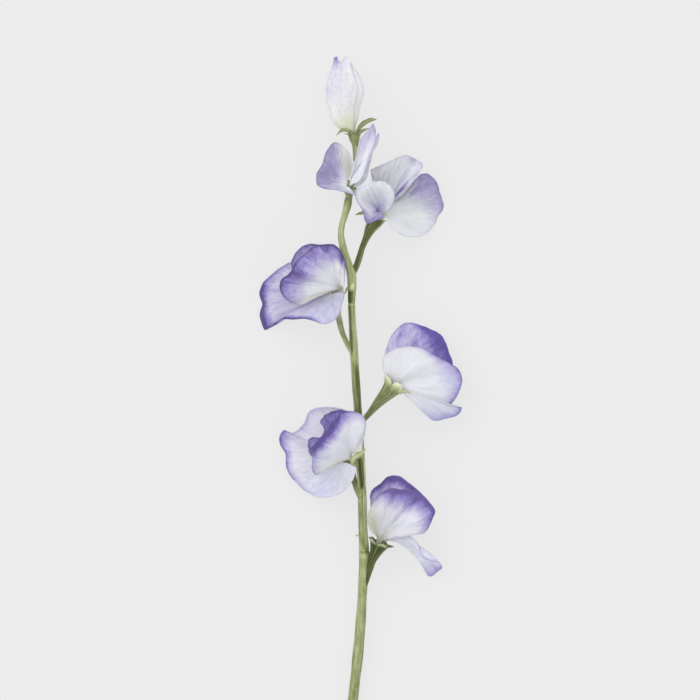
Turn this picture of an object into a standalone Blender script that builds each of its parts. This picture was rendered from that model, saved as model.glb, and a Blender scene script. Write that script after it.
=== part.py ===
"""A picked stem of sweet pea lying on a table: six open blooms and a closed bud.

Metres, +Z up. The table is z = 0 and the stem runs along +Y to the bud.
Points are in millimetres, as x, y, z, and are shifted by SHIFT so that the origin is
on the table under the middle of the whole.
"""

import math

import bpy
import numpy as np

MM = 0.001
SHIFT = np.array((-0.07, 0.05, 0.0))
PETAL_THICK = 0.6
KEEL_THICK = 0.6
CALYX_WALL = 0.8
CLAW_DEPTH = 2.6
CLAW_RISE = 1.2
CLAW_HALF = 0.9
CLAW_SPREAD = 1.3
PLACE_SPREAD = 1.15
FULL_REACH = 20.0
ARRIVE_AT = 0.62
RIPPLE_RISE = 2.5
BUD_CLAW = 0.85
CELLS = {"standard": (18, 7), "wing_near": (14, 7), "wing_far": (11, 6)}
KEEL_CELLS = (6, 5)
STEM_SIDES = 10
TEETH = 5
BLADE_THICK = 0.5

GREEN = (0.33, 0.42, 0.17)
LILAC = (0.70, 0.66, 0.88)
WHITE = (0.86, 0.87, 0.90)
CREAM = (0.80, 0.83, 0.70)

# The main stem from its cut end to the bud: x, y, z, radius.
STEM = (
    (-6.6, -175.0, 2.52, 2.65),
    (-3.4, -147.0, 4.2, 2.55),
    (-0.3, -117.0, 7.4, 2.4),
    (1.1, -97.0, 9.8, 2.35),
    (1.9, -79.0, 12.0, 2.4),
    (2.1, -74.5, 12.6, 2.6),
    (2.0, -71.0, 13.0, 2.35),
    (1.4, -59.0, 14.5, 2.3),
    (1.2, -47.0, 16.0, 2.15),
    (0.0, -22.0, 18.0, 2.0),
    (-1.1, -2.0, 19.0, 2.05),
    (-2.1, 13.0, 19.5, 2.0),
    (-3.3, 33.0, 20.0, 2.0),
    (-4.2, 53.0, 20.0, 1.8),
    (-4.0, 61.0, 20.0, 2.15),
    (-4.3, 65.5, 20.0, 2.1),
    (-5.7, 70.5, 20.2, 1.75),
    (-8.7, 80.5, 20.5, 1.7),
    (-9.5, 86.0, 20.5, 1.45),
    (-9.0, 90.5, 20.5, 1.45),
    (-7.5, 95.5, 20.5, 1.7),
    (-6.1, 101.0, 20.3, 2.0),
    (-5.7, 103.5, 19.6, 1.8),
    (-4.4, 109.0, 16.0, 1.3),
    (-3.2, 115.0, 15.8, 1.2),
    (-2.2, 121.0, 16.2, 1.25),
    (-2.1, 127.0, 16.0, 1.4),
    (-2.4, 131.0, 16.0, 1.6),
)

# Each bloom's stalk and green calyx. stalk: x, y, z, radius, from inside the stem;
# mouth, axis and radius of the calyx; body: its radius that far below the mouth;
# turn: where its five teeth start round the mouth; teeth: length, and flare off the axis
# in radians; valley: how far up a tooth its neighbours stay joined.
CALYX = {
    "bloom_1": {
        "stalk": ((2.3, -92.0, 10.6, 0.9), (3.6, -87.0, 11.6, 1.2),
                  (4.9, -82.0, 12.6, 1.6), (6.2, -77.0, 13.6, 2.2)),
        "mouth": (9.5, -69.2, 15.0), "axis": (0.36, 0.88, 0.2), "radius": 4.9,
        "body": (3.5, 3.2), "turn": -0.63, "valley": 0.35,
        "teeth": ((3.2, 1.25), (2.0, 0.9), (2.0, 1.1), (2.2, 0.6), (2.5, 0.6)),
    },
    "bloom_2": {
        "stalk": ((1.3, -48.0, 16.6, 1.3), (-1.2, -42.0, 16.0, 1.6),
                  (-3.0, -37.0, 14.8, 1.6), (-4.6, -32.4, 14.6, 2.4)),
        "mouth": (-5.6, -28.0, 18.6), "axis": (-0.15, 0.5, 0.85), "radius": 3.5,
        "body": (3.35, 3.1), "turn": 0.0, "valley": 0.12,
        "teeth": ((1.0, 1.2), (1.0, 1.2), (1.0, 1.2), (1.0, 1.2), (1.0, 1.2)),
    },
    "bloom_3": {
        "stalk": ((-0.6, -9.0, 18.8, 1.3), (3.0, -5.5, 19.2, 1.4),
                  (7.0, -0.8, 19.4, 2.0), (10.4, 3.2, 19.6, 2.8)),
        "mouth": (15.2, 8.4, 20.0), "axis": (0.64, 0.74, 0.1), "radius": 4.4,
        "body": (3.7, 2.6), "turn": -0.63, "valley": 0.45,
        "teeth": ((2.2, 0.8), (4.0, 0.6), (5.0, 0.6), (6.0, 0.8), (6.0, 0.3)),
    },
    "bloom_4": {
        "stalk": ((-3.8, 26.5, 19.8, 1.2), (-6.0, 30.4, 19.2, 1.3),
                  (-8.4, 35.5, 16.9, 1.3), (-10.2, 42.0, 13.6, 1.5),
                  (-11.0, 47.5, 12.0, 1.6), (-11.2, 52.0, 12.2, 2.4)),
        "mouth": (-11.6, 56.5, 16.2), "axis": (-0.15, 0.5, 0.85), "radius": 3.6,
        "body": (3.45, 3.1), "turn": 0.2, "valley": 0.12,
        "teeth": ((1.0, 1.2), (1.0, 1.2), (1.0, 1.2), (1.0, 1.2), (1.0, 1.2)),
    },
    "bloom_5": {
        "stalk": ((-3.9, 65.0, 19.6, 1.4), (-1.0, 72.0, 19.4, 1.6),
                  (1.3, 79.5, 19.2, 1.5), (3.2, 84.0, 19.2, 1.8),
                  (5.2, 88.5, 18.6, 2.8)),
        "mouth": (8.6, 94.2, 18.4), "axis": (0.45, 0.85, 0.1), "radius": 4.4,
        "body": (3.8, 2.6), "turn": -0.2, "valley": 0.4,
        "teeth": ((0.8, 1.2), (2.5, 0.8), (2.5, 0.8), (2.5, 0.8), (2.2, 1.2)),
    },
    "bloom_6": {
        "stalk": ((-5.9, 102.2, 19.6, 1.5), (-5.6, 104.3, 19.7, 1.6)),
        "mouth": (-4.9, 109.2, 23.2), "axis": (0.1, 0.5, 0.86), "radius": 3.1,
        "body": (3.0, 3.1), "turn": 0.0, "valley": 0.12,
        "teeth": ((1.0, 1.2), (1.0, 1.2), (1.0, 1.2), (1.0, 1.2), (1.0, 1.2)),
    },
    "bud": {
        "stalk": ((-2.1, 127.0, 16.0, 1.3), (-2.4, 131.0, 16.0, 1.7)),
        "mouth": (-3.1, 135.8, 16.0), "axis": (-0.15, 0.99, 0.0), "radius": 2.75,
        "body": (2.55, 2.2), "turn": 0.3, "valley": 0.3,
        "teeth": ((3.0, 1.3), (2.5, 1.3), (2.5, 1.3), (2.5, 1.2), (3.0, 1.2)),
    },
}

# Free-standing green blades. points: x, y, z and half width along each, from inside the
# green part that it grows on; face: the way its flat side looks.
BLADES = {
    "bud_sepal_right": {
        "points": ((-1.94, 135.2, 18.0, 0.7), (-0.6, 138.4, 19.2, 0.95),
                   (2.2, 141.2, 20.0, 1.25), (5.4, 142.8, 19.8, 1.0),
                   (8.2, 143.2, 19.0, 0.15)),
        "face": (0.3, -0.4, 0.85)},
    "bud_sepal_left": {
        "points": ((-4.35, 135.4, 18.0, 0.8), (-6.2, 137.9, 19.4, 1.0),
                   (-8.6, 138.0, 19.6, 0.9), (-11.8, 135.3, 18.6, 0.12)),
        "face": (-0.2, 0.1, 0.97)},
    "bud_sepal_low": {
        "points": ((-0.95, 134.8, 15.4, 0.7), (0.2, 137.0, 16.2, 0.9),
                   (2.6, 138.2, 16.4, 0.7), (4.6, 138.9, 16.2, 0.12)),
        "face": (0.2, -0.3, 0.93)},
    "bloom_2_sepal": {
        "points": ((-4.35, -30.4, 19.8, 0.8), (-3.2, -26.2, 22.6, 1.3),
                   (-0.2, -24.0, 23.4, 1.25), (2.8, -21.4, 23.2, 0.5)),
        "face": (-0.1, -0.35, 0.93)},
    "bloom_3_sepal": {
        "points": ((17.6, 5.9, 21.6, 0.7), (19.6, 6.8, 22.6, 0.9),
                   (22.4, 7.2, 24.2, 0.7), (25.2, 6.4, 23.8, 0.12)),
        "face": (0.0, -0.5, 0.85)},
    "bloom_5_sepal": {
        "points": ((4.75, 95.4, 18.7, 0.6), (2.4, 96.6, 18.6, 1.0),
                   (0.2, 96.3, 18.4, 0.7), (-2.3, 95.6, 18.0, 0.12)),
        "face": (0.0, -0.2, 0.98)},
    "node_scale": {
        "points": ((-4.4, 57.4, 21.2, 0.5), (-4.0, 58.8, 22.3, 1.0),
                   (-3.7, 60.4, 22.5, 1.0), (-3.6, 61.9, 21.6, 0.3)),
        "face": (0.0, -0.2, 0.98)},
    "stem_spike": {
        "points": ((0.8, -65.4, 14.8, 0.3), (-1.2, -64.9, 15.8, 0.35),
                   (-2.6, -64.7, 15.9, 0.08)),
        "face": (0.0, 0.0, 1.0)},
    "node_bract": {
        "points": ((-4.6, 60.6, 20.0, 0.8), (-5.9, 59.4, 21.0, 0.8),
                   (-6.9, 58.0, 21.0, 0.6), (-7.4, 56.2, 20.6, 0.12)),
        "face": (-0.4, 0.2, 0.9)},
}

# Every fan-shaped petal.
# claw: place of its narrow foot in the calyx mouth (right, up) and its turn in degrees;
# throw: how far it runs on along the calyx before it spreads;
# rim: points round its free edge; belly: bulge of its face off the straight line,
# as one value or as its first and last;
# wave: height, number and phase of the ripples in its edge.
PETALS = {
    "bloom_1_standard": {
        "claw": (1.8, 0.2, 90), "throw": 5, "belly": (2, 8, 0), "wave": (0.3, 3, 0.0),
        "tone": WHITE,
        "rim": ((20, -65.2, 15), (26, -66.2, 16.3), (28.6, -68.6, 17), (30.2, -72.6, 16.6),
                (31.8, -75.8, 16), (35.5, -77.8, 15), (40.2, -78.7, 13.5),
                (41.6, -81.2, 12), (39, -83.4, 9), (34.5, -86, 5), (31.8, -81.2, 2.5),
                (28.6, -75.4, 1.5), (24.6, -71.5, 4), (18.8, -68, 9)),
    },
    "bloom_1_wing_far": {
        "claw": (-0.5, 1.4, 0), "throw": 4, "belly": (0, 0, -2), "wave": (0.5, 3, 1.0),
        "tone": LILAC,
        "rim": ((31, -52, 13), (30, -43.5, 14), (26.5, -40, 15), (20, -35.7, 16),
                (14.5, -35, 17), (10.5, -38, 18), (8, -40, 18.5), (5.8, -44, 19.5),
                (5.4, -47.5, 19), (5.2, -54.5, 17), (5.3, -60, 16),
                (7, -63.5, 15.5)),
    },
    "bloom_1_wing_near": {
        "claw": (-0.5, -1.3, 0), "throw": 4, "belly": (0, 0, 8), "wave": (0.5, 4, 0.0),
        "tone": LILAC,
        "rim": ((5.2, -62.5, 20), (3.8, -57, 21), (4.4, -51.5, 22.5), (10, -43.5, 26),
                (15.5, -41, 27), (22.5, -41.5, 26), (29.5, -42.5, 22.5), (34, -47.5, 20.5),
                (37.5, -52.5, 19.5), (35.5, -58, 19.5), (32, -62.5, 19.5),
                (26.5, -64.3, 20), (19, -64.3, 19.5)),
    },
    "bloom_2_standard": {
        "claw": (-1.5, -0.2, 90), "throw": 6, "belly": ((0, 0, -7), (0, 0, 1)),
        "wave": (0.6, 5, 0.5),
        "tone": WHITE,
        "rim": ((-5, -3.5, 21), (-11, -1, 19), (-17.5, 0, 16.5), (-25, -2.5, 14),
                (-28, -9, 13), (-33.5, -13, 11), (-37, -11, 8), (-41, -17, 4),
                (-37.5, -24.5, 7), (-36.5, -32, 6), (-31.5, -39, 5), (-21.5, -46, 7),
                (-15, -46, 11), (-8, -42.5, 18), (-3, -36.5, 22.5), (-1.5, -30.5, 24)),
    },
    "bloom_2_wing_far": {
        "claw": (-0.5, 0.5, 90), "throw": 6, "belly": (0, 0, -1), "wave": (0.5, 3, 0.0),
        "tone": LILAC,
        "rim": ((-2, -4.5, 22.5), (-8.5, -2, 23.5), (-16, -3.5, 24), (-19, -7, 24.5),
                (-18, -11.5, 25.5), (-20, -15, 25.5), (-24, -15.5, 24.5),
                (-26, -18.5, 23), (-25.5, -23, 20.5), (-22, -27, 18.5)),
    },
    "bloom_2_wing_near": {
        "claw": (1.35, 0.5, 90), "throw": 9.5, "belly": (0, 0, 8), "wave": (0.4, 4, 0.0),
        "tone": LILAC,
        "rim": ((0.8, -22, 27), (2.5, -11, 28), (2, -5.5, 27.5), (-2, -2.5, 27.5),
                (-8.5, -2.5, 29), (-15, -10.5, 32), (-21.5, -17.5, 31), (-24.5, -21.5, 28),
                (-24.5, -26.5, 24), (-22.5, -34, 18), (-16.5, -30.5, 18.5)),
    },
    "bloom_3_standard": {
        "claw": (0, -1.4, 0), "throw": 3, "belly": (0, 0, 7), "wave": (0.5, 4, 0.0),
        "tone": WHITE,
        "rim": ((11.5, 16.5, 20), (11, 22.5, 19), (15, 28, 19), (22, 30, 20.5),
                (29.5, 29, 21), (37, 25, 21), (45, 21.5, 18), (49.4, 18.2, 16.5),
                (51.15, 13.5, 16), (49.8, 8.5, 16), (47, 3, 16), (45.6, 0.4, 16),
                (51.0, -0.6, 16.5), (49.4, -4.8, 14.5), (45.5, -6, 13.5),
                (39.4, -7.3, 12.5), (29.8, -0.6, 14.5), (25.2, 6.8, 17)),
    },
    "bloom_3_wing_near": {
        "claw": (0, -0.5, 0), "throw": 5, "belly": (0, 0, 3), "wave": (0.4, 4, 1.0),
        "tone": LILAC,
        "rim": ((13, 22, 15), (13.5, 30.5, 14), (16.5, 36.5, 13), (24, 41.5, 12),
                (29.5, 41, 11), (38.5, 36.5, 9), (43.5, 30.5, 8), (46.5, 23, 8),
                (45.5, 15.5, 7.5), (40, 8, 8), (32, 4, 10)),
    },
    "bloom_3_wing_far": {
        "claw": (0, 1.4, 0), "throw": 3, "belly": (0, 0, -7), "wave": (0.4, 3, 0.0),
        "tone": LILAC,
        "rim": ((15, 24, 11), (18, 33, 8), (25, 38, 6), (33, 37, 4), (40, 30.5, 3),
                (43, 22, 2.5), (40, 13, 3), (32, 6, 6)),
    },
    "bloom_4_standard": {
        "claw": (-1.5, -0.6, 90), "throw": 4, "belly": (0, 0, -3), "wave": (0.5, 5, 0.0),
        "tone": WHITE,
        "rim": ((-7.8, 57, 22.5), (-8.4, 50, 23), (-12.6, 42.9, 21.6),
                (-19, 41.1, 19.7), (-27, 43, 18.5), (-32, 43, 16.5), (-38, 44, 11),
                (-48, 38.5, 0.1), (-50.5, 44, 2), (-49.5, 51.5, 4.5), (-51, 56.5, 2),
                (-49, 62, 3.5), (-44, 66.5, 6), (-34.5, 72, 10), (-24, 74, 13),
                (-15, 72, 15)),
    },
    "bloom_4_wing_far": {
        "claw": (-0.55, 0.5, 90), "throw": 5, "belly": (0, 0, -1), "wave": (0.5, 3, 1.0),
        "tone": LILAC,
        "rim": ((-10, 72, 19.5), (-14.5, 79, 20), (-20, 80.5, 21), (-26.5, 80.5, 22.5),
                (-31, 78, 22.5), (-34, 73.5, 21), (-34, 68, 19.5), (-32, 62, 17.5),
                (-27, 57, 16.5)),
    },
    "bloom_4_wing_near": {
        "claw": (1.3, 0.8, 90), "throw": 8.5, "belly": (0, 0, 9), "wave": (0.4, 4, 0.0),
        "tone": LILAC,
        "rim": ((-8.0, 60, 25), (-7.4, 67, 26), (-9.6, 77, 25), (-13.5, 80.5, 25.5),
                (-21.5, 80, 28), (-27, 76, 30), (-32, 72.5, 30), (-34.5, 67, 28),
                (-39.5, 63, 23), (-40, 59, 21), (-38, 55, 19), (-35, 52.3, 17.5),
                (-30, 50, 17)),
    },
    "bloom_5_standard": {
        "claw": (1.0, 1.4, 0), "throw": 5, "belly": (0, 0, 3), "wave": (0.4, 4, 0.0),
        "tone": WHITE,
        "rim": ((24, 105, 18), (29, 111, 16), (30.5, 115.5, 14), (34, 116.5, 12),
                (37.5, 114, 9.5), (40, 108, 6), (42, 99, 0.2), (40, 96.5, 0.7),
                (37.5, 91, 3), (33.5, 87, 5), (26.5, 85, 9), (21, 85.5, 12),
                (16, 88.5, 15)),
    },
    "bloom_5_wing_far": {
        "claw": (-0.3, 0.5, 0), "throw": 4, "belly": (0, 0, 2), "wave": (0.4, 5, 0.0),
        "tone": LILAC,
        "rim": ((8, 112.5, 22), (5.5, 118, 22), (9, 119.5, 22.5), (13, 121.5, 23),
                (16.5, 123, 23), (23, 125.5, 22), (28, 123, 20.5), (31.5, 120.5, 20),
                (29.5, 116.5, 21), (26, 111.5, 22), (22, 107, 22)),
    },
    "bloom_5_wing_near": {
        "claw": (-0.5, -1.7, 0), "throw": 5, "lift": (0, 0, 4), "belly": (0, 0, 5),
        "wave": (0.3, 4, 0.0),
        "tone": LILAC,
        "rim": ((13, 94, 26.5), (9, 92.5, 27.5), (3.5, 91, 28), (1, 98, 29),
                (-1.5, 102, 29.5), (-2.5, 107.5, 29), (3, 110, 30), (7.5, 112, 30.5),
                (12.5, 112, 30), (16, 108.5, 29), (17.2, 103, 27), (16.4, 98.5, 25)),
    },
    "bloom_6_standard": {
        "claw": (-1.5, 0, 90), "throw": 4, "belly": (0, 0, 0), "wave": (0.4, 4, 0.0),
        "tone": LILAC,
        "rim": ((-2, 120, 24.5), (-4.5, 125, 25), (-7.5, 129, 25), (-12, 131.5, 24),
                (-16.5, 128.5, 21), (-19, 121, 18), (-22, 116, 15), (-21.5, 111, 15),
                (-18, 108.5, 18), (-12, 107.7, 22.5), (-7, 106, 26.3), (-2, 105, 27.3)),
    },
    "bloom_6_wing_near": {
        "claw": (-0.5, 0, 90), "throw": 5, "belly": (0, 0, 1), "wave": (0.3, 4, 0.0),
        "tone": WHITE,
        "rim": ((-4.4, 114, 27.5), (-3, 119.5, 28.5), (-1.5, 126, 29), (0, 132, 28.5),
                (2.6, 136, 28.5), (6.4, 140.7, 30), (8, 137, 31.5), (6.8, 130, 33),
                (4.8, 123.5, 33), (2.6, 117, 32), (-0.5, 112, 30)),
    },
    "bloom_6_wing_far": {
        "claw": (1.3, 0, 90), "throw": 1.5, "belly": (0, 0, -0.5), "wave": (0.3, 4, 1.0),
        "tone": WHITE,
        "rim": ((1, 115, 27.5), (2.5, 121, 28.5), (5, 127.5, 29), (8, 133, 28.5),
                (9.6, 136, 27.5), (9.0, 132, 25.5), (7.0, 127, 24.5), (5.4, 122, 24),
                (4.4, 117, 24.5), (2.2, 112, 25.5), (0, 109.5, 26)),
    },
}

# The closed bud is an egg of wrapped petals: x, y, z, half width and half depth of the
# egg from just past the calyx mouth to its top.
BUD_RINGS = (
    (-3.3, 136.7, 16.0, 1.5, 1.5),
    (-6.2, 139.2, 16.1, 4.6, 3.3),
    (-7.8, 143.5, 16.3, 6.7, 4.7),
    (-8.1, 148.5, 16.5, 7.6, 5.6),
    (-7.9, 154.0, 16.7, 9.0, 6.2),
    (-7.8, 158.5, 16.8, 9.6, 6.2),
    (-8.2, 163.5, 16.8, 8.2, 5.4),
    (-8.3, 168.0, 16.8, 6.0, 4.2),
    (-8.6, 172.0, 16.8, 4.4, 3.2),
    (-9.0, 175.0, 16.8, 3.6, 2.6),
)

# Each petal of the bud. arc: degrees it wraps round the egg, from +X towards +Z;
# inset: how far it lies inside the egg; aside: how far it swells to +X;
# top: its height at angles in degrees, as a share of the egg's.
BUD = {
    "bud_standard": {
        "arc": (50, 320), "inset": 0.0, "aside": 0.0, "wave": (0.2, 4, 0.0),
        "tone": WHITE,
        "top": ((50, 0.97), (72, 1.0), (95, 0.92), (112, 0.92), (135, 1.0), (165, 0.98),
                (195, 0.9), (260, 0.85), (320, 0.8)),
    },
    "bud_wing_near": {
        "arc": (5, 100), "inset": 0.72, "aside": 2.0, "wave": (0.15, 3, 0.0),
        "tone": WHITE,
        "top": ((5, 0.86), (40, 0.93), (75, 0.95), (100, 0.85)),
    },
    "bud_wing_far": {
        "arc": (-100, -5), "inset": 0.72, "aside": 2.0, "wave": (0.15, 3, 0.0),
        "tone": WHITE,
        "top": ((-100, 0.7), (-50, 0.8), (-5, 0.82)),
    },
}

# Each keel: claw as above, tip, half width, how deep its trough is, and which way it opens.
KEELS = {
    "bloom_1_keel": {"claw": (-0.5, 0.1, 0), "tip": (20, -53, 20.0), "half": 2.2,
                     "deep": 2.4, "open": (0.2, 0.5, 0.6)},
    "bloom_2_keel": {"claw": (0.42, 0.5, 90), "tip": (-12, -18, 29), "half": 1.0,
                     "deep": 0.6, "open": (-0.2, -0.3, 0.8)},
    "bloom_3_keel": {"claw": (0, 0.45, 0), "tip": (27, 22, 11), "half": 1.5,
                     "deep": 0.8, "open": (0.3, -0.3, -0.6)},
    "bloom_4_keel": {"claw": (0.35, 0.5, 90), "tip": (-22, 61, 24.5), "half": 1.2,
                     "deep": 0.6, "open": (-0.2, -0.3, 0.8)},
    "bloom_5_keel": {"claw": (-0.4, -0.45, 0), "tip": (14, 107, 26), "half": 2.2,
                     "deep": 2.0, "open": (0.0, 0.2, 0.8)},
    "bloom_6_keel": {"claw": (0.35, 0, 90), "tip": (-1.0, 115, 28), "half": 1.0,
                     "deep": 0.4, "open": (1.0, 0.0, 0.0)},
}


def unit(vector):
    vector = np.asarray(vector, float)
    return vector / np.linalg.norm(vector)


def curve(points, at):
    """A smooth curve through the points, read at places from 0 to 1 along its length."""
    points = np.asarray(points, float)
    steps = np.linalg.norm(np.diff(points[:, :3], axis=0), axis=1)
    knots = np.concatenate([[0.0], np.cumsum(steps)])
    slopes = np.gradient(points, knots, axis=0)
    places = np.asarray(at, float) * knots[-1]
    index = np.clip(np.searchsorted(knots, places, side="right") - 1, 0, len(points) - 2)
    width = (knots[index + 1] - knots[index])[:, None]
    t = (places - knots[index])[:, None] / width
    first = (2 * t**3 - 3 * t**2 + 1) * points[index]
    first = first + (t**3 - 2 * t**2 + t) * width * slopes[index]
    second = (3 * t**2 - 2 * t**3) * points[index + 1]
    return first + second + (t**3 - t**2) * width * slopes[index + 1]


def rim_places(points, cells):
    """Places along a rim that take in each of its points, and split the longest gaps."""
    steps = np.linalg.norm(np.diff(np.asarray(points, float), axis=0), axis=1)
    places = list(np.concatenate([[0.0], np.cumsum(steps)]) / steps.sum())
    while len(places) < cells + 1:
        gaps = np.diff(places)
        widest = int(np.argmax(gaps))
        places.insert(widest + 1, places[widest] + gaps[widest] / 2)
    return np.array(places)


def bezier(p0, p1, p2, p3, t):
    t = np.asarray(t, float)[None, :, None]
    p0, p1, p2, p3 = (p[:, None, :] for p in (p0, p1, p2, p3))
    return (
        (1 - t) ** 3 * p0
        + 3 * t * (1 - t) ** 2 * p1
        + 3 * t**2 * (1 - t) * p2
        + t**3 * p3
    )


def normals(grid):
    """The unit normal of a grid of points at each of them."""
    along = np.gradient(grid, axis=0)
    out = np.gradient(grid, axis=1)
    facing = np.cross(along, out)
    return facing / np.maximum(np.linalg.norm(facing, axis=2, keepdims=True), 1e-9)


def mouth_frame(bloom):
    """Axis of a calyx, and the right and up directions across its mouth."""
    axis = unit(CALYX[bloom]["axis"])
    right = unit(np.array((1.0, 0.0, 0.0)) - axis[0] * axis)
    return axis, right, np.cross(axis, right)


def foot(bloom, claw, way, places):
    """The two rows of points of a claw: its end deep in the calyx, and just past the mouth."""
    axis, right, up = mouth_frame(bloom)
    mouth = np.array(CALYX[bloom]["mouth"], float)
    turn = math.radians(claw[2])
    across = right * math.cos(turn) + up * math.sin(turn)
    if np.dot(across, way) > 0:
        across = -across
    place = right * claw[0] + up * claw[1]
    share = 2 * places[:, None] - 1
    deep = mouth - axis * CLAW_DEPTH + place + across * share * CLAW_HALF
    past = mouth + axis * CLAW_RISE + place * PLACE_SPREAD
    past = past + across * share * CLAW_HALF * CLAW_SPREAD
    return deep, past, axis


def bloom_of(name):
    return "bud" if name.startswith("bud") else name[:7]


def kind_of(name):
    return name[len(bloom_of(name)) + 1:]


def petal_grid(name, round_cells, out_cells):
    """The middle face of a fan-shaped petal, as a grid: round its rim by out from its claw."""
    data = PETALS[name]
    bloom = bloom_of(name)
    places = rim_places(data["rim"], round_cells)
    rim = curve(data["rim"], places)
    deep, past, axis = foot(bloom, data["claw"], rim[0] - rim[-1], places)
    reach = np.linalg.norm(rim - past, axis=1)[:, None]
    leave = past + axis * np.minimum(data["throw"], 0.5 * reach)
    leave = leave + np.array(data.get("lift", (0, 0, 0)), float)
    short = np.clip(reach / FULL_REACH, 0.2, 1.0)
    belly = np.atleast_2d(np.array(data["belly"], float))
    if len(belly) > 1:
        belly = belly[0] + (belly[1] - belly[0]) * places[:, None]
    arrive = past + (rim - past) * ARRIVE_AT + belly * short
    grid = bezier(past, leave, arrive, rim, np.linspace(0, 1, out_cells))
    grid = np.concatenate([deep[:, None, :], grid], axis=1)
    height, ripples, phase = data["wave"]
    u = places[:, None]
    v = np.concatenate([[0.0], np.linspace(0, 1, out_cells)])[None, :]
    ripple = height * v**RIPPLE_RISE * np.sin(2 * math.pi * ripples * u + phase)
    return grid + normals(grid) * ripple[:, :, None]


def bud_grid(name, round_cells, out_cells):
    """The middle face of a petal wrapped round the bud, as a grid: round it by along it."""
    data = BUD[name]
    places = np.linspace(0, 1, round_cells + 1)
    first, last = data["arc"]
    degrees = first + (last - first) * places
    angle = np.radians(degrees)
    heights = np.array(data["top"], float)
    top = np.interp(degrees, heights[:, 0], heights[:, 1])
    v = np.linspace(0, 1, out_cells)
    at = top[:, None] * v[None, :]
    rings = curve(BUD_RINGS, at.ravel()).reshape(*at.shape, 5)
    inset = data["inset"] * (1 + 1.2 * np.clip(8 * at, 0, 1))
    side = np.cos(angle)[:, None] * (rings[:, :, 3] - inset)
    rise = np.sin(angle)[:, None] * (rings[:, :, 4] - inset)
    grid = rings[:, :, :3].copy()
    outward = np.clip(np.cos(angle), 0, 1)[:, None] ** 3
    grid[:, :, 0] += side + data["aside"] * outward * np.clip(4 * at, 0, 1)
    grid[:, :, 2] += rise
    axis, right, up = mouth_frame("bud")
    mouth = np.array(CALYX["bud"]["mouth"], float)
    radius = BUD_CLAW * (BUD_RINGS[0][3] - data["inset"])
    round_claw = right * np.cos(angle)[:, None] - up * np.sin(angle)[:, None]
    deep = mouth - axis * CLAW_DEPTH + round_claw * radius
    grid = np.concatenate([deep[:, None, :], grid], axis=1)
    height, ripples, phase = data["wave"]
    v = np.concatenate([[0.0], v])[None, :]
    ripple = height * v**RIPPLE_RISE * np.sin(2 * math.pi * ripples * places[:, None] + phase)
    return grid + normals(grid) * ripple[:, :, None]


def keel_grid(name, across_cells, long_cells):
    """The middle face of a boat-shaped keel, as a grid: across it by along it."""
    data = KEELS[name]
    bloom = bloom_of(name)
    tip = np.array(data["tip"], float)
    opening = unit(data["open"])
    places = np.linspace(0, 1, across_cells + 1)
    deep, past, axis = foot(bloom, data["claw"], (0, 0, 0), places)
    middle = past.mean(axis=0)[None, :]
    reach = np.linalg.norm(tip - middle)
    spine = bezier(
        middle,
        middle + axis * 0.35 * reach,
        middle + (tip - middle) * 0.7,
        tip[None, :],
        np.linspace(0, 1, long_cells),
    )[0]
    side = unit(np.cross(unit(tip - middle[0]), opening))
    if np.dot(side, past[-1] - past[0]) < 0:
        side = -side
    s = np.linspace(-1, 1, across_cells + 1)[:, None, None]
    t = np.linspace(0, 1, long_cells)[None, :, None]
    swell = np.sin(math.pi * np.clip(0.12 + 0.8 * t, 0, 1)) ** 0.8
    grid = spine[None, :, :] + side * s * data["half"] * swell
    grid = grid + opening * (np.abs(s) ** 1.4) * data["deep"] * swell * t**0.5
    grid[:, 0, :] = past
    return np.concatenate([deep[:, None, :], grid], axis=1)


def add_object(name, points, faces, tone):
    """A closed mesh with its faces outward."""
    points = (np.asarray(points, float) + SHIFT) * MM
    volume = 0.0
    for face in faces:
        for k in range(1, len(face) - 1):
            a, b, c = points[face[0]], points[face[k]], points[face[k + 1]]
            volume += float(np.dot(a, np.cross(b, c)))
    if volume < 0:
        faces = [tuple(reversed(face)) for face in faces]
    mesh = bpy.data.meshes.new(name)
    mesh.from_pydata([tuple(p) for p in points], [], [tuple(f) for f in faces])
    mesh.validate()
    for polygon in mesh.polygons:
        polygon.use_smooth = True
    thing = bpy.data.objects.new(name, mesh)
    bpy.context.scene.collection.objects.link(thing)
    material = bpy.data.materials.new(name + "_surface")
    material.use_nodes = True
    shader = material.node_tree.nodes["Principled BSDF"]
    shader.inputs["Base Color"].default_value = (*tone, 1.0)
    shader.inputs["Roughness"].default_value = 0.55
    mesh.materials.append(material)
    return thing


def shell(name, grid, thick, tone):
    """A thin sheet on a grid: both faces split alike, joined round the edge."""
    facing = normals(grid)
    rows, columns = grid.shape[0], grid.shape[1]
    front = (grid + facing * thick / 2).reshape(-1, 3)
    back = (grid - facing * thick / 2).reshape(-1, 3)
    count = rows * columns
    faces = []
    for i in range(rows - 1):
        for j in range(columns - 1):
            a, b = i * columns + j, (i + 1) * columns + j
            c, d = b + 1, a + 1
            if np.linalg.norm(front[a] - front[c]) < np.linalg.norm(front[b] - front[d]):
                halves = ((a, b, c), (a, c, d))
            else:
                halves = ((a, b, d), (b, c, d))
            for one, two, three in halves:
                faces.append((one, two, three))
                faces.append((count + three, count + two, count + one))
    edge = [i * columns for i in range(rows)]
    edge += [(rows - 1) * columns + j for j in range(1, columns)]
    edge += [i * columns + columns - 1 for i in range(rows - 2, -1, -1)]
    edge += list(range(columns - 2, 0, -1))
    for k, one in enumerate(edge):
        two = edge[(k + 1) % len(edge)]
        faces.append((two, one, count + one, count + two))
    return add_object(name, np.concatenate([front, back]), faces, tone)


def ring(centre, axis, radius, turn, sides):
    axis = unit(axis)
    right = unit(np.array((1.0, 0.0, 0.0)) - axis[0] * axis)
    up = np.cross(axis, right)
    angle = turn + 2 * math.pi * np.arange(sides)[:, None] / sides
    return centre + radius * (right * np.cos(angle) + up * np.sin(angle))


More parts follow.
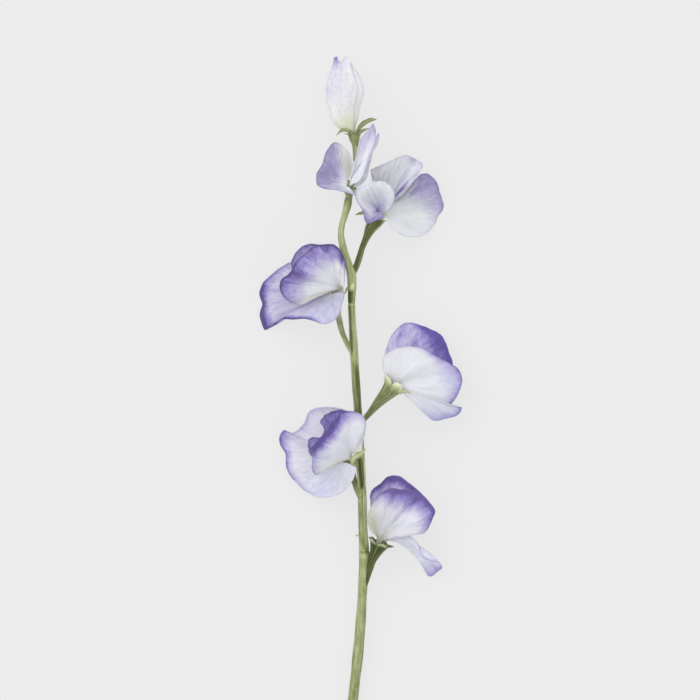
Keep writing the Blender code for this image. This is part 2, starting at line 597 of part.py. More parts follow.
def loft(name, rings, tone):
    """A closed solid through rings of equal count, capped at both ends."""
    sides = len(rings[0])
    faces = [tuple(range(sides))]
    for k in range(len(rings) - 1):
        for j in range(sides):
            a, b = k * sides + j, k * sides + (j + 1) % sides
            faces.append((b, a, a + sides))
            faces.append((b, a + sides, b + sides))
    last = (len(rings) - 1) * sides
    faces.append(tuple(reversed(range(last, last + sides))))
    return add_object(name, np.concatenate(rings), faces, tone)


def directions(points):
    points = np.asarray(points, float)
    return [unit(row) for row in np.gradient(points, axis=0)]


def main_stem():
    rows = np.array(STEM, float)
    rings = []
    for row, axis in zip(rows, directions(rows[:, :3])):
        rings.append(ring(row[:3], axis, row[3], 0.0, STEM_SIDES))
    # The cut end is square to the table.
    rings[0][:, 1] = STEM[0][1]
    return loft("stem", rings, GREEN)


def stalk_and_calyx(bloom):
    """A stalk that swells into a hollow calyx with five teeth round its mouth."""
    data = CALYX[bloom]
    profile = (data["valley"], 1.0)
    sides = TEETH * len(profile)
    turn = data["turn"]
    axis = unit(data["axis"])
    mouth = np.array(data["mouth"], float)
    radius = data["radius"]
    body, low = data["body"]
    rows = np.array(data["stalk"], float)
    path = np.concatenate([rows[:, :3], [mouth - axis * low]])
    ways = directions(path)
    rings = []
    for row, way in zip(rows, ways):
        rings.append(ring(row[:3], way, row[3], turn, sides))
    rings.append(ring(mouth - axis * low, axis, body, turn, sides))
    rings.append(ring(mouth, axis, radius, turn, sides))
    outward = (rings[-1] - mouth) / radius
    middles, tips = [], []
    for j in range(sides):
        length, flare = data["teeth"][j // len(profile)]
        length = length * profile[j % len(profile)]
        half = axis * math.cos(flare * 0.6) + outward[j] * math.sin(flare * 0.6)
        full = axis * math.cos(flare) + outward[j] * math.sin(flare)
        middles.append(rings[-1][j] + half * length * 0.5)
        tips.append(middles[-1] + full * length * 0.5)
    middles, tips = np.array(middles), np.array(tips)
    rings.append(middles)
    rings.append(tips)
    inward = axis * 0.35 - outward * 0.75
    rings.append(tips + inward * CALYX_WALL * 0.8)
    rings.append(middles + inward * CALYX_WALL)
    rings.append(mouth - axis * 0.2 + outward * (radius - CALYX_WALL))
    rings.append(mouth - axis * (CLAW_DEPTH + 0.3) + outward * (body - CALYX_WALL))
    return loft("green_" + bloom, rings, GREEN)


def blade(name):
    """A small pointed green leaf along its line of points."""
    data = BLADES[name]
    rows = np.array(data["points"], float)
    facing = unit(data["face"])
    rings = []
    for row, way in zip(rows, directions(rows[:, :3])):
        across = unit(np.cross(way, facing)) * row[3]
        over = unit(np.cross(across, way)) * min(BLADE_THICK / 2, row[3])
        rings.append(np.array([row[:3] + across, row[:3] + over,
                               row[:3] - across, row[:3] - over]))
    return loft("green_" + name, rings, GREEN)


def join(target, others):
    """One solid of the target and the others."""
    group = bpy.data.collections.new("to_join")
    for other in others:
        group.objects.link(other)
    modifier = target.modifiers.new("join", "BOOLEAN")
    modifier.operation = "UNION"
    modifier.operand_type = "COLLECTION"
    modifier.collection = group
    modifier.solver = "EXACT"
    bpy.context.view_layer.objects.active = target
    target.select_set(True)
    bpy.ops.object.modifier_apply(modifier=modifier.name)
    for other in others:
        bpy.data.objects.remove(other)
    bpy.data.collections.remove(group)


def build():
    for old in list(bpy.data.objects):
        bpy.data.objects.remove(old)
    stem = main_stem()
    greens = [stalk_and_calyx(bloom) for bloom in CALYX]
    join(stem, greens + [blade(name) for name in BLADES])
    for name, data in PETALS.items():
        grid = petal_grid(name, *CELLS[kind_of(name)])
        shell(name, grid, PETAL_THICK, data["tone"])
    for name, data in BUD.items():
        grid = bud_grid(name, *CELLS[kind_of(name)])
        shell(name, grid, PETAL_THICK, data["tone"])
    for name in KEELS:
        shell(name, keel_grid(name, *KEEL_CELLS), KEEL_THICK, CREAM)


build()
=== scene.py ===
"""Looks of a picked sweet pea stem that lies on a pale table: veined and waved petals in
lilac and white, a ribbed green stem, hollow calyces with pointed teeth, and a bud.

Places are in millimetres, as in the solids, and are shifted by SHIFT into the frame.
Every petal is a fan of curves from its claw in the calyx mouth out to its rim.
"""

import math

import bpy
import numpy as np
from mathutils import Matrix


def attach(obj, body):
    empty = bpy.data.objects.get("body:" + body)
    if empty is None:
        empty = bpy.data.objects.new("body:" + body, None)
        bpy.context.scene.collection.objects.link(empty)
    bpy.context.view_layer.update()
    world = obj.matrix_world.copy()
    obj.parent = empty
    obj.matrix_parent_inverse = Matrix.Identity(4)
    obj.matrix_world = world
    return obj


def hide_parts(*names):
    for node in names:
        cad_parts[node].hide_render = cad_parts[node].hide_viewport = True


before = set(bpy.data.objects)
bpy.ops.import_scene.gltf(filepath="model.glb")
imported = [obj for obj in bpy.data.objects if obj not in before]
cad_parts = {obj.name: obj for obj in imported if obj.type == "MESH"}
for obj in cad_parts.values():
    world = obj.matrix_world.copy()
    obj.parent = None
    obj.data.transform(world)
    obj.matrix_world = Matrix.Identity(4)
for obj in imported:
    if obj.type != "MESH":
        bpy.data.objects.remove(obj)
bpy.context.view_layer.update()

MM = 0.001
SHIFT = np.array((-0.07, 0.05, 0.0))

# The claw of a petal, its narrow foot: how deep it ends in the calyx, how far past the
# mouth it is free, half its width, how much wider it is and further off the axis it stands
# by then, and the radius of a bud's ring of claws as a share of the egg's first one.
CLAW_DEPTH = 2.6
CLAW_RISE = 1.2
CLAW_HALF = 0.9
CLAW_SPREAD = 1.3
PLACE_SPREAD = 1.15
BUD_CLAW = 0.85
# The curves of a petal: the length at which its belly is full, and how far along it they
# swing over towards the rim; then how far a keel runs on along the calyx, as a share of
# its length, and where it swings over towards its tip.
FULL_REACH = 20.0
ARRIVE_AT = 0.62
KEEL_THROW = 0.35
KEEL_ARRIVE = 0.7
# How fast a petal's waves grow towards its rim; then its crimps, its pleats and the nicks
# of its rim, as knots round the rim, height in millimetres and, for a crimp, its growth.
WAVE_RISE = 2.5
CRIMPS = ((9, 0.5, 3), (19, 0.30, 5), (41, 0.13, 8))
LONG_PLEATS = (24, 0.18)
FINE_PLEATS = (70, 0.05)
NICKS = ((11, 0.35), (29, 0.2), (67, 0.10))
# Where the coloured band of a petal's rim starts, and how far the green of a claw runs.
RIM_FROM = 0.93
CLAW_GREEN = 0.3
# Cells round and out of a petal's sheet, how thick it is in its middle and at its rim,
# how wide the thin band is, and what sets the pattern of one petal off from the next.
CELLS = {"standard": (150, 56), "wing_near": (130, 50), "wing_far": (110, 44),
         "keel": (24, 40)}
SHEET_THICK = 0.30
RIM_THICK = 0.14
THIN_BAND = 0.15
SEED_STEP = 3.7
# Points along and round the green parts; how high the ribs of the stem and the stalks
# stand, and how much the stem swells and over what lengths, as a share of the radius; and
# the radii and the length in millimetres that the pattern on them is laid out for.
STEM_ROWS = 620
STEM_SIDES = 40
STEM_RIBS = 0.035
STEM_SWELL = 0.03
SWELL_LENGTHS = (3.1, 7.7, 15)
STALK_ROWS = 90
STALK_SIDES = 100
STALK_RIBS = 0.03
BLADE_ROWS = 36
BLADE_SIDES = 13
STEM_PATTERN = 2.3
STALK_PATTERN = 2.5
BLADE_PATTERN = 8.0
# The teeth of a calyx; how thick they are at their tips, and how much thicker down at the
# mouth; and the rings of the hollow inside: rise along the axis, and share of the radius.
TEETH = 5
TOOTH_ROWS = 14
TIP_THICK = 0.16
MOUTH_THICK = 0.34
CUP_ROWS = ((-0.3, 0.72), (0.0, 0.5), (0.1, 0.15))

# Colours as on a screen, from 0 to 255.
BLUE_TINT = (196, 202, 236)
# The grey painted on the petals as shade.
GREY_SHADE_TINT = (178, 179, 180)
DIM_TINT = (158, 158, 166)
GREEN_MAIN = (156, 161, 114)
GREEN_DARK = (106, 114, 64)
GREEN_LIGHT = (190, 194, 154)
# Dark green of the stalks, also used for painted shade in hollows, slits and shaded stretches.
GREEN_DEEP_TONE_AND_SHADE = (52, 64, 12)
GREEN_PALE = (206, 210, 164)
GREEN_WHITE = (232, 233, 222)
GREEN_THREAD = (76, 86, 38)
GREEN_POWDER = (222, 224, 200)

# The table, the light and the camera, in metres and degrees.
TABLE_HALF = 6.0
TABLE_TONE = (0.12, 0.12, 0.12, 1.0)
TABLE_GLOW = 0.692
SKY_TONE = (0.98, 0.99, 1.0, 1.0)
LAMP_TONE = (1.0, 0.99, 0.97)
LAMP_STRENGTH = 1.08
LAMP_SPREAD = 70
LAMP_TILT = -29
LENS = 200
FILM = 36
CAMERA_OVER = np.array((-0.005, 0.028, 0.018))
CAMERA_HEIGHT = 0.35 * LENS / FILM

# The main stem from its cut end to the bud: x, y, z, radius.
STEM = (
    (-6.6, -175, 2.52, 2.65), (-3.4, -147, 4.2, 2.55), (-0.3, -117, 7.4, 2.4),
    (1.1, -97, 9.8, 2.35), (1.9, -79, 12, 2.4), (2.1, -74.5, 12.6, 2.6), (2, -71, 13, 2.35),
    (1.4, -59, 14.5, 2.3), (1.2, -47, 16, 2.15), (0, -22, 18, 2), (-1.1, -2, 19, 2.05),
    (-2.1, 13, 19.5, 2), (-3.3, 33, 20, 2), (-4.2, 53, 20, 1.8), (-4, 61, 20, 2.15),
    (-4.3, 65.5, 20, 2.1), (-5.7, 70.5, 20.2, 1.75), (-8.7, 80.5, 20.5, 1.7),
    (-9.5, 86, 20.5, 1.45), (-9, 90.5, 20.5, 1.45), (-7.5, 95.5, 20.5, 1.7),
    (-6.1, 101, 20.3, 2), (-5.7, 103.5, 19.6, 1.8), (-4.4, 109, 16, 1.3),
    (-3.2, 115, 15.8, 1.2), (-2.2, 121, 16.2, 1.25), (-2.1, 127, 16, 1.4), (-2.4, 131, 16, 1.6),
)

# Nicks, dark marks and pale marks across the main stem: y, half width, amount.
STEM_NICKS = ((51.6, 0.5, 0.10), (-72.6, 0.6, 0.05))
# The dark mark at y 51.5 is painted shadow on the stem just below the node.
STEM_DARK = ((-73, 0.5, 0.5), (103, 3, 0.35), (51.5, 0.35, 0.5))
STEM_PALE = ((125, 9, 0.1), (-75.2, 0.9, 0.35), (50.7, 0.4, 0.5))

# Darker and paler stretches of the main stem: from y, to y, how soft their ends are, their
# middle and half width across the stem from -1 to 1, and how dark or, below 0, how pale.
# Some are painted light and shade: the dark middle from y -42 to -25 is painted shade
# beside the stalk there, with painted sheen on both edges; the pale right side from y -72
# to -42 is painted light over the shadow that the bloom beside it casts; the pale right edge
# from y 20 to 51 is a painted highlight; and the dark band from y 51.8 to 57.6 is painted
# shadow below the node.
STEM_TONES = (
    (-180, -88, 12, 0.2, 0.5, 0.12), (-180, -88, 12, -0.8, 0.3, 0.12),
    (-73, -43, 3, 0, 0.1, 0.55), (-72, -42, 4, 0.7, 0.45, -0.9), (-60, -44, 6, -0.7, 0.4, 0.5),
    (-42, -25, 3, 0, 0.5, 2), (-42, -25, 3, 0.95, 0.25, -0.9), (-42, -25, 3, -0.95, 0.3, -1),
    (-14, 24, 8, 0.45, 0.7, 0.85), (-14, 24, 8, -0.6, 0.5, 0.45), (24, 57, 5, -0.6, 0.55, 0.85),
    (20, 51, 6, 0.95, 0.25, -0.4), (51.8, 57.6, 0.5, -0.35, 0.75, 1.4),
    (59, 100, 5, 0.2, 1.2, -0.28), (105, 131, 8, 0.2, 1.2, -0.15),
    (-170, -95, 9, 0.9, 0.25, 0.2),
)

# Each bloom's stalk and green calyx. stalk: x, y, z, radius, from inside the stem;
# mouth, axis and radius of the calyx; body: its radius that far below the mouth;
# turn: where its five teeth start round the mouth; teeth: length, and flare off the axis
# in radians; valley: how far up a tooth its neighbours stay joined; blunt: how blunt the
# teeth are; ragged: how ragged they are, in millimetres.
EVEN_TEETH = {"valley": 0.12, "teeth": ((1, 1.2),) * TEETH, "blunt": 1.2, "ragged": 0.2}
CALYX = {
    "bloom_1": {
        "stalk": ((2.3, -92, 10.6, 0.9), (3.6, -87, 11.6, 1.2), (4.9, -82, 12.6, 1.6),
            (6.2, -77, 13.6, 2.2)), "mouth": (9.5, -69.2, 15), "axis": (0.36, 0.88, 0.2),
        "radius": 4.9, "body": (3.5, 3.2), "turn": -0.63, "valley": 0.35,
        "teeth": ((3.2, 1.25), (2, 0.9), (2, 1.1), (2.2, 0.6), (2.5, 0.6)), "blunt": 1.6,
        "ragged": 0.5},
    "bloom_2": {
        "stalk": ((1.3, -48, 16.6, 1.3), (-1.2, -42, 16, 1.6), (-3, -37, 14.8, 1.6),
            (-4.6, -32.4, 14.6, 2.4)), "mouth": (-5.6, -28, 18.6), "axis": (-0.15, 0.5, 0.85),
        "radius": 3.5, "body": (3.35, 3.1), "turn": 0, **EVEN_TEETH},
    "bloom_3": {
        "stalk": ((-0.6, -9, 18.8, 1.3), (3, -5.5, 19.2, 1.4), (7, -0.8, 19.4, 2),
            (10.4, 3.2, 19.6, 2.8)), "mouth": (15.2, 8.4, 20), "axis": (0.64, 0.74, 0.1),
        "radius": 4.4, "body": (3.7, 2.6), "turn": -0.63, "valley": 0.45,
        "teeth": ((2.2, 0.8), (4, 0.6), (5, 0.6), (6, 0.8), (6, 0.3)), "blunt": 4,
        "ragged": 0.3},
    "bloom_4": {
        "stalk": ((-3.8, 26.5, 19.8, 1.2), (-6, 30.4, 19.2, 1.3), (-8.4, 35.5, 16.9, 1.3),
            (-10.2, 42, 13.6, 1.5), (-11, 47.5, 12, 1.6), (-11.2, 52, 12.2, 2.4)),
        "mouth": (-11.6, 56.5, 16.2), "axis": (-0.15, 0.5, 0.85), "radius": 3.6,
        "body": (3.45, 3.1), "turn": 0.2, **EVEN_TEETH},
    "bloom_5": {
        "stalk": ((-3.9, 65, 19.6, 1.4), (-1, 72, 19.4, 1.6), (1.3, 79.5, 19.2, 1.5),
            (3.2, 84, 19.2, 1.8), (5.2, 88.5, 18.6, 2.8)), "mouth": (8.6, 94.2, 18.4),
        "axis": (0.45, 0.85, 0.1), "radius": 4.4, "body": (3.8, 2.6), "turn": -0.2,
        "valley": 0.4, "teeth": ((0.8, 1.2), (2.5, 0.8), (2.5, 0.8), (2.5, 0.8), (2.2, 1.2)),
        "blunt": 2, "ragged": 0.3},
    "bloom_6": {
        "stalk": ((-5.9, 102.2, 19.6, 1.5), (-5.6, 104.3, 19.7, 1.6)),
        "mouth": (-4.9, 109.2, 23.2), "axis": (0.1, 0.5, 0.86), "radius": 3.1, "body": (3, 3.1),
        "turn": 0, **EVEN_TEETH},
    "bud": {
        "stalk": ((-2.1, 127, 16, 1.3), (-2.4, 131, 16, 1.7)), "mouth": (-3.1, 135.8, 16),
        "axis": (-0.15, 0.99, 0), "radius": 2.75, "body": (2.55, 2.2), "turn": 0.3,
        "valley": 0.3, "teeth": ((3, 1.3), (2.5, 1.3), (2.5, 1.3), (2.5, 1.2), (3, 1.2)),
        "blunt": 1.5, "ragged": 0.2},
}

# How dark the body of each calyx is, how dark its hollow inside is painted as shade, how
# yellow its rim is, how dark the slits between its teeth are painted as shade, and how white
# the tips of the teeth and the upper half of the calyx are.
CALYX_LOOK = {
    "bloom_1": (1.35, 0.8, 0.75, 1, 0, 0),
    "bloom_2": (0.3, 0.1, 0.8, 0.5, 0, 0),
    "bloom_3": (0.6, 0.5, 0.45, 1.6, 1.1, 0),
    "bloom_4": (0.1, 0, 0.9, 0.5, 0, 1.7),
    "bloom_5": (0.85, 0.6, 0.85, 1, 0, 0),
    "bloom_6": (0.2, 0.15, 0.5, 0.5, 0, 0),
    "bud": (0.1, 0.5, 0.4, 0.5, 0, 0),
}

# Free-standing green blades: x, y, z and half width along each, from inside the green part
# that it grows on; the way its flat side looks; and how dark and how yellow it is.
BLADES = {
    "bud_sepal_right": (((-1.94, 135.2, 18, 0.7), (-0.6, 138.4, 19.2, 0.95),
        (2.2, 141.2, 20, 1.25), (5.4, 142.8, 19.8, 1), (8.2, 143.2, 19, 0.15)),
        (0.3, -0.4, 0.85), (0.4, 0.15)),
    "bud_sepal_left": (((-4.35, 135.4, 18, 0.8), (-6.2, 137.9, 19.4, 1), (-8.6, 138, 19.6, 0.9),
        (-11.8, 135.3, 18.6, 0.12)), (-0.2, 0.1, 0.97), (0.3, 0.25)),
    "bud_sepal_low": (((-0.95, 134.8, 15.4, 0.7), (0.2, 137, 16.2, 0.9),
        (2.6, 138.2, 16.4, 0.7), (4.6, 138.9, 16.2, 0.12)), (0.2, -0.3, 0.93), (0.3, 0.3)),
    "bloom_2_sepal": (((-4.35, -30.4, 19.8, 0.8), (-3.2, -26.2, 22.6, 1.3),
        (-0.2, -24, 23.4, 1.25), (2.8, -21.4, 23.2, 0.5)), (-0.1, -0.35, 0.93), (0, 0.8)),
    "bloom_3_sepal": (((17.6, 5.9, 21.6, 0.7), (19.6, 6.8, 22.6, 0.9), (22.4, 7.2, 24.2, 0.7),
        (25.2, 6.4, 23.8, 0.12)), (0, -0.5, 0.85), (0.2, 0.6)),
    "bloom_5_sepal": (((4.75, 95.4, 18.7, 0.6), (2.4, 96.6, 18.6, 1), (0.2, 96.3, 18.4, 0.7),
        (-2.3, 95.6, 18, 0.12)), (0, -0.2, 0.98), (0.4, 0.15)),
    "node_scale": (((-4.4, 57.4, 21.2, 0.5), (-4, 58.8, 22.3, 1), (-3.7, 60.4, 22.5, 1),
        (-3.6, 61.9, 21.6, 0.3)), (0, -0.2, 0.98), (0, 1)),
    "stem_spike": (((0.8, -65.4, 14.8, 0.3), (-1.2, -64.9, 15.8, 0.35),
        (-2.6, -64.7, 15.9, 0.08)), (0, 0, 1), (0.1, 0.35)),
    "node_bract": (((-4.6, 60.6, 20, 0.8), (-5.9, 59.4, 21, 0.8), (-6.9, 58, 21, 0.6),
        (-7.4, 56.2, 20.6, 0.12)), (-0.4, 0.2, 0.9), (0.5, 0.3)),
}

# Every fan-shaped petal.
# claw: place of its foot in the calyx mouth (right, up) and its turn in degrees;
# throw: how far it runs on along the calyx before it spreads, and lift: how far it is
# moved there; rim: points round its free edge; belly: bulge of its face off the straight
# line, as one value or as its first and last;
# wave: height, number and phase of the ripples in its edge; crimp: how much stronger its
# crimps are than on the other petals.
# Its colours follow in hundredths. violet: how violet each point of its rim is;
# reach: how far that runs from the rim towards the claw, as a share of the way;
# wash: violet all over; foot: how green its claw is, 90 if nothing is said;
# marks: spots of a colour as colour, u round the rim, v out from the claw, their half
# widths, and amount; the grey marks are painted shade;
# folds: height in millimetres, then half width, u and v of both ends, and how violet it is.
PETALS = {
    "bloom_1_standard": {
        "claw": (1.8, 0.2, 90), "throw": 5, "belly": (2, 8, 0), "wave": (0.3, 3, 0),
        "rim": ((20, -65.2, 15), (26, -66.2, 16.3), (28.6, -68.6, 17), (30.2, -72.6, 16.6),
            (31.8, -75.8, 16), (35.5, -77.8, 15), (40.2, -78.7, 13.5), (41.6, -81.2, 12),
            (39, -83.4, 9), (34.5, -86, 5), (31.8, -81.2, 2.5), (28.6, -75.4, 1.5),
            (24.6, -71.5, 4), (18.8, -68, 9)),
        "violet": (10, 30, 40, 35, 30, 25, 30, 40, 45, 40, 30, 25, 20, 10),
        "reach": (12, 15, 12, 10, 10, 10, 10, 12, 20, 30, 30, 30, 30, 30), "wash": 6,
        "marks": (("violet", 12, 50, 5, 20, 30), ("blue", 50, 70, 50, 40, 40))},
    "bloom_1_wing_far": {
        "claw": (-0.5, 1.4, 0), "throw": 4, "belly": (0, 0, -2), "wave": (0.5, 3, 1),
        "rim": ((31, -52, 13), (30, -43.5, 14), (26.5, -40, 15), (20, -35.7, 16),
            (14.5, -35, 17), (10.5, -38, 18), (8, -40, 18.5), (5.8, -44, 19.5),
            (5.4, -47.5, 19), (5.2, -54.5, 17), (5.3, -60, 16), (7, -63.5, 15.5)),
        "violet": (80, 90, 90, 85, 85, 85, 80, 60, 30, 10, 5, 5), "reach": 25, "wash": 30,
        "marks": (("green", 85, 70, 12, 40, 80),),
        "folds": ((0.6, 3, 45, 60, 40, 100, 10), (0.3, 2, 10, 95, 70, 95, 30))},
    "bloom_1_wing_near": {
        "claw": (-0.5, -1.3, 0), "throw": 4, "belly": (0, 0, 8), "wave": (0.5, 4, 0),
        "rim": ((5.2, -62.5, 20), (3.8, -57, 21), (4.4, -51.5, 22.5), (10, -43.5, 26),
            (15.5, -41, 27), (22.5, -41.5, 26), (29.5, -42.5, 22.5), (34, -47.5, 20.5),
            (37.5, -52.5, 19.5), (35.5, -58, 19.5), (32, -62.5, 19.5), (26.5, -64.3, 20),
            (19, -64.3, 19.5)),
        "violet": (2, 5, 12, 50, 85, 100, 100, 85, 80, 65, 35, 10, 5),
        "reach": (20, 20, 22, 28, 36, 42, 42, 36, 32, 30, 22, 20, 20), "wash": 4,
        "marks": (("green", 10, 60, 11, 50, 120), ("green", 60, 15, 60, 20, 60),
            ("grey_shade", 86, 75, 10, 20, 60), ("grey_shade", 22, 60, 10, 30, 60),
            ("grey_shade", 45, 40, 20, 20, 30)),
        "folds": ((0.6, 3, 30, 45, 36, 100, 10), (-0.6, 3, 52, 50, 56, 100, 20),
            (0.6, 3, 72, 45, 70, 100, 10), (0.3, 2, 25, 96, 72, 96, 25))},
    "bloom_2_standard": {
        "claw": (-1.5, -0.2, 90), "throw": 6, "belly": ((0, 0, -7), (0, 0, 1)),
        "wave": (0.6, 5, 0.5),
        "rim": ((-5, -3.5, 21), (-11, -1, 19), (-17.5, 0, 16.5), (-25, -2.5, 14), (-28, -9, 13),
            (-33.5, -13, 11), (-37, -11, 8), (-41, -17, 4), (-37.5, -24.5, 7), (-36.5, -32, 6),
            (-31.5, -39, 5), (-21.5, -46, 7), (-15, -46, 11), (-8, -42.5, 18),
            (-3, -36.5, 22.5), (-1.5, -30.5, 24)),
        "violet": (25, 15, 15, 20, 30, 30, 50, 65, 55, 45, 30, 15, 8, 5, 5, 5),
        "reach": (30, 30, 30, 30, 30, 30, 24, 25, 16, 16, 20, 24, 30, 30, 30, 30), "wash": 12,
        "marks": (("blue", 74, 80, 10, 22, 70), ("grey_shade", 40, 60, 15, 25, 60),
            ("grey_shade", 10, 60, 10, 30, 50)),
        "folds": ((-0.8, 3, 40, 50, 36, 100, 10), (0.6, 3, 66, 50, 70, 100, 5))},
    "bloom_2_wing_far": {
        "claw": (-0.5, 0.5, 90), "throw": 6, "belly": (0, 0, -1), "wave": (0.5, 3, 0),
        "rim": ((-2, -4.5, 22.5), (-8.5, -2, 23.5), (-16, -3.5, 24), (-19, -7, 24.5),
            (-18, -11.5, 25.5), (-20, -15, 25.5), (-24, -15.5, 24.5), (-26, -18.5, 23),
            (-25.5, -23, 20.5), (-22, -27, 18.5)),
        "violet": (50, 70, 75, 60, 60, 60, 60, 70, 60, 40), "reach": 80, "wash": 45,
        "marks": (("violet", 40, 65, 20, 12, 25),),
        "folds": ((0.6, 5, 20, 70, 45, 80, 20),)},
    "bloom_2_wing_near": {
        "claw": (1.35, 0.5, 90), "throw": 9.5, "belly": (0, 0, 8), "wave": (0.4, 4, 0),
        "rim": ((0.8, -22, 27), (2.5, -11, 28), (2, -5.5, 27.5), (-2, -2.5, 27.5),
            (-8.5, -2.5, 29), (-15, -10.5, 32), (-21.5, -17.5, 31), (-24.5, -21.5, 28),
            (-24.5, -26.5, 24), (-22.5, -34, 18), (-16.5, -30.5, 18.5)),
        "violet": (12, 15, 25, 40, 80, 95, 95, 80, 40, 45, 20),
        "reach": (30, 25, 22, 30, 38, 42, 42, 38, 30, 25, 30), "wash": 6,
        "marks": (("green", 0, 50, 8, 40, 90), ("green", 97, 45, 10, 40, 95),
            ("grey_shade", 12, 80, 8, 20, 60), ("blue", 76, 80, 6, 20, 60)),
        "folds": ((0.7, 2.5, 42, 92, 76, 92, 50), (-0.6, 3, 50, 65, 56, 100, 10),
            (0.4, 3, 6, 50, 10, 100, 0))},
    "bloom_3_standard": {
        "claw": (0, -1.4, 0), "throw": 3, "belly": (0, 0, 7), "wave": (0.5, 4, 0),
        "rim": ((11.5, 16.5, 20), (11, 22.5, 19), (15, 28, 19), (22, 30, 20.5), (29.5, 29, 21),
            (37, 25, 21), (45, 21.5, 18), (49.4, 18.2, 16.5), (51.15, 13.5, 16),
            (49.8, 8.5, 16), (47, 3, 16), (45.6, 0.4, 16), (51, -0.6, 16.5), (49.4, -4.8, 14.5),
            (45.5, -6, 13.5), (39.4, -7.3, 12.5), (29.8, -0.6, 14.5), (25.2, 6.8, 17)),
        "violet": (2, 2, 3, 5, 10, 30, 40, 50, 50, 45, 45, 50, 65, 50, 40, 35, 20, 5),
        "reach": (25, 25, 25, 20, 12, 12, 25, 30, 20, 20, 15, 10, 6, 12, 20, 30, 30, 30),
        "wash": 0,
        "marks": (("blue", 76, 95, 14, 35, 80), ("blue", 50, 85, 5, 12, 70),
            ("violet", 74, 95, 12, 20, 10), ("grey_shade", 12, 75, 8, 20, 30)),
        "folds": ((-0.4, 3, 57, 60, 60, 100, 0), (0.5, 2.5, 42, 60, 44, 100, 5))},
    "bloom_3_wing_near": {
        "claw": (0, -0.5, 0), "throw": 5, "belly": (0, 0, 3), "wave": (0.4, 4, 1),
        "rim": ((13, 22, 15), (13.5, 30.5, 14), (16.5, 36.5, 13), (24, 41.5, 12),
            (29.5, 41, 11), (38.5, 36.5, 9), (43.5, 30.5, 8), (46.5, 23, 8), (45.5, 15.5, 7.5),
            (40, 8, 8), (32, 4, 10)),
        "violet": (15, 30, 35, 40, 60, 95, 100, 95, 85, 60, 40),
        "reach": (60, 60, 40, 30, 30, 40, 55, 60, 55, 45, 45), "wash": 34,
        "marks": (("violet", 40, 75, 3, 10, 30), ("violet", 62, 60, 10, 10, 25),
            ("violet", 50, 50, 5, 10, 20), ("violet", 25, 85, 4, 8, 20)),
        "folds": ((0.7, 4, 45, 60, 52, 100, 20), (-0.6, 3.5, 25, 60, 28, 100, 10),
            (0.6, 3, 70, 60, 74, 100, 10), (0.3, 2, 40, 96, 90, 96, 30))},
    "bloom_3_wing_far": {
        "claw": (0, 1.4, 0), "throw": 3, "belly": (0, 0, -7), "wave": (0.4, 3, 0),
        "rim": ((15, 24, 11), (18, 33, 8), (25, 38, 6), (33, 37, 4), (40, 30.5, 3),
            (43, 22, 2.5), (40, 13, 3), (32, 6, 6)),
        "violet": (40, 50, 60, 70, 70, 60, 50, 30), "reach": 60, "wash": 15},
    # In bloom_4 the green marks where wing and standard meet, and the grey beside them, are
    # painted crease shadow.
    "bloom_4_standard": {
        "claw": (-1.5, -0.6, 90), "throw": 4, "belly": (0, 0, -3), "wave": (0.5, 5, 0),
        "rim": ((-7.8, 57, 22.5), (-8.4, 50, 23), (-12.6, 42.9, 21.6), (-19, 41.1, 19.7),
            (-27, 43, 18.5), (-32, 43, 16.5), (-38, 44, 11), (-48, 38.5, 0.1), (-50.5, 44, 2),
            (-49.5, 51.5, 4.5), (-51, 56.5, 2), (-49, 62, 3.5), (-44, 66.5, 6), (-34.5, 72, 10),
            (-24, 74, 13), (-15, 72, 15)),
        "violet": (5, 10, 15, 30, 90, 100, 95, 100, 100, 80, 85, 70, 50, 35, 20, 20),
        "reach": (35, 35, 35, 30, 20, 20, 20, 25, 20, 12, 20, 22, 30, 30, 30, 30), "wash": 28,
        "marks": (("blue", 15, 80, 10, 40, 70), ("grey_shade", 62, 50, 22, 25, 80),
            ("grey_shade", 20, 30, 30, 25, 60), ("green", 0, 30, 10, 20, 30)),
        "folds": ((0.9, 3.5, 36, 45, 40, 100, 10), (-0.9, 3.5, 60, 40, 62, 100, 10))},
    "bloom_4_wing_far": {
        "claw": (-0.55, 0.5, 90), "throw": 5, "belly": (0, 0, -1), "wave": (0.5, 3, 1),
        "rim": ((-10, 72, 19.5), (-14.5, 79, 20), (-20, 80.5, 21), (-26.5, 80.5, 22.5),
            (-31, 78, 22.5), (-34, 73.5, 21), (-34, 68, 19.5), (-32, 62, 17.5),
            (-27, 57, 16.5)),
        "violet": (60, 70, 65, 60, 60, 60, 50, 40, 30), "reach": 25, "wash": 38},
    "bloom_4_wing_near": {
        "claw": (1.3, 0.8, 90), "throw": 8.5, "belly": (0, 0, 9), "wave": (0.4, 4, 0),
        "rim": ((-8, 60, 25), (-7.4, 67, 26), (-9.6, 77, 25), (-13.5, 80.5, 25.5),
            (-21.5, 80, 28), (-27, 76, 30), (-32, 72.5, 30), (-34.5, 67, 28), (-39.5, 63, 23),
            (-40, 59, 21), (-38, 55, 19), (-35, 52.3, 17.5), (-30, 50, 17)),
        "violet": (20, 60, 85, 85, 75, 70, 65, 70, 75, 70, 60, 45, 15),
        "reach": (25, 28, 40, 50, 60, 60, 60, 60, 55, 50, 45, 35, 25), "wash": 3,
        "marks": (("violet", 22, 85, 3, 12, 25), ("green", 0, 45, 10, 30, 30),
            ("green", 100, 50, 6, 30, 70), ("grey_shade", 97, 60, 5, 30, 60),
            ("violet", 70, 80, 10, 20, 12)),
        "folds": ((0.6, 3, 30, 50, 36, 100, 10), (-0.9, 3.5, 62, 72, 66, 100, 20),
            (0.5, 2.5, 18, 50, 20, 100, 20))},
    "bloom_5_standard": {
        "claw": (1, 1.4, 0), "throw": 5, "belly": (0, 0, 3), "wave": (0.4, 4, 0),
        "rim": ((24, 105, 18), (29, 111, 16), (30.5, 115.5, 14), (34, 116.5, 12),
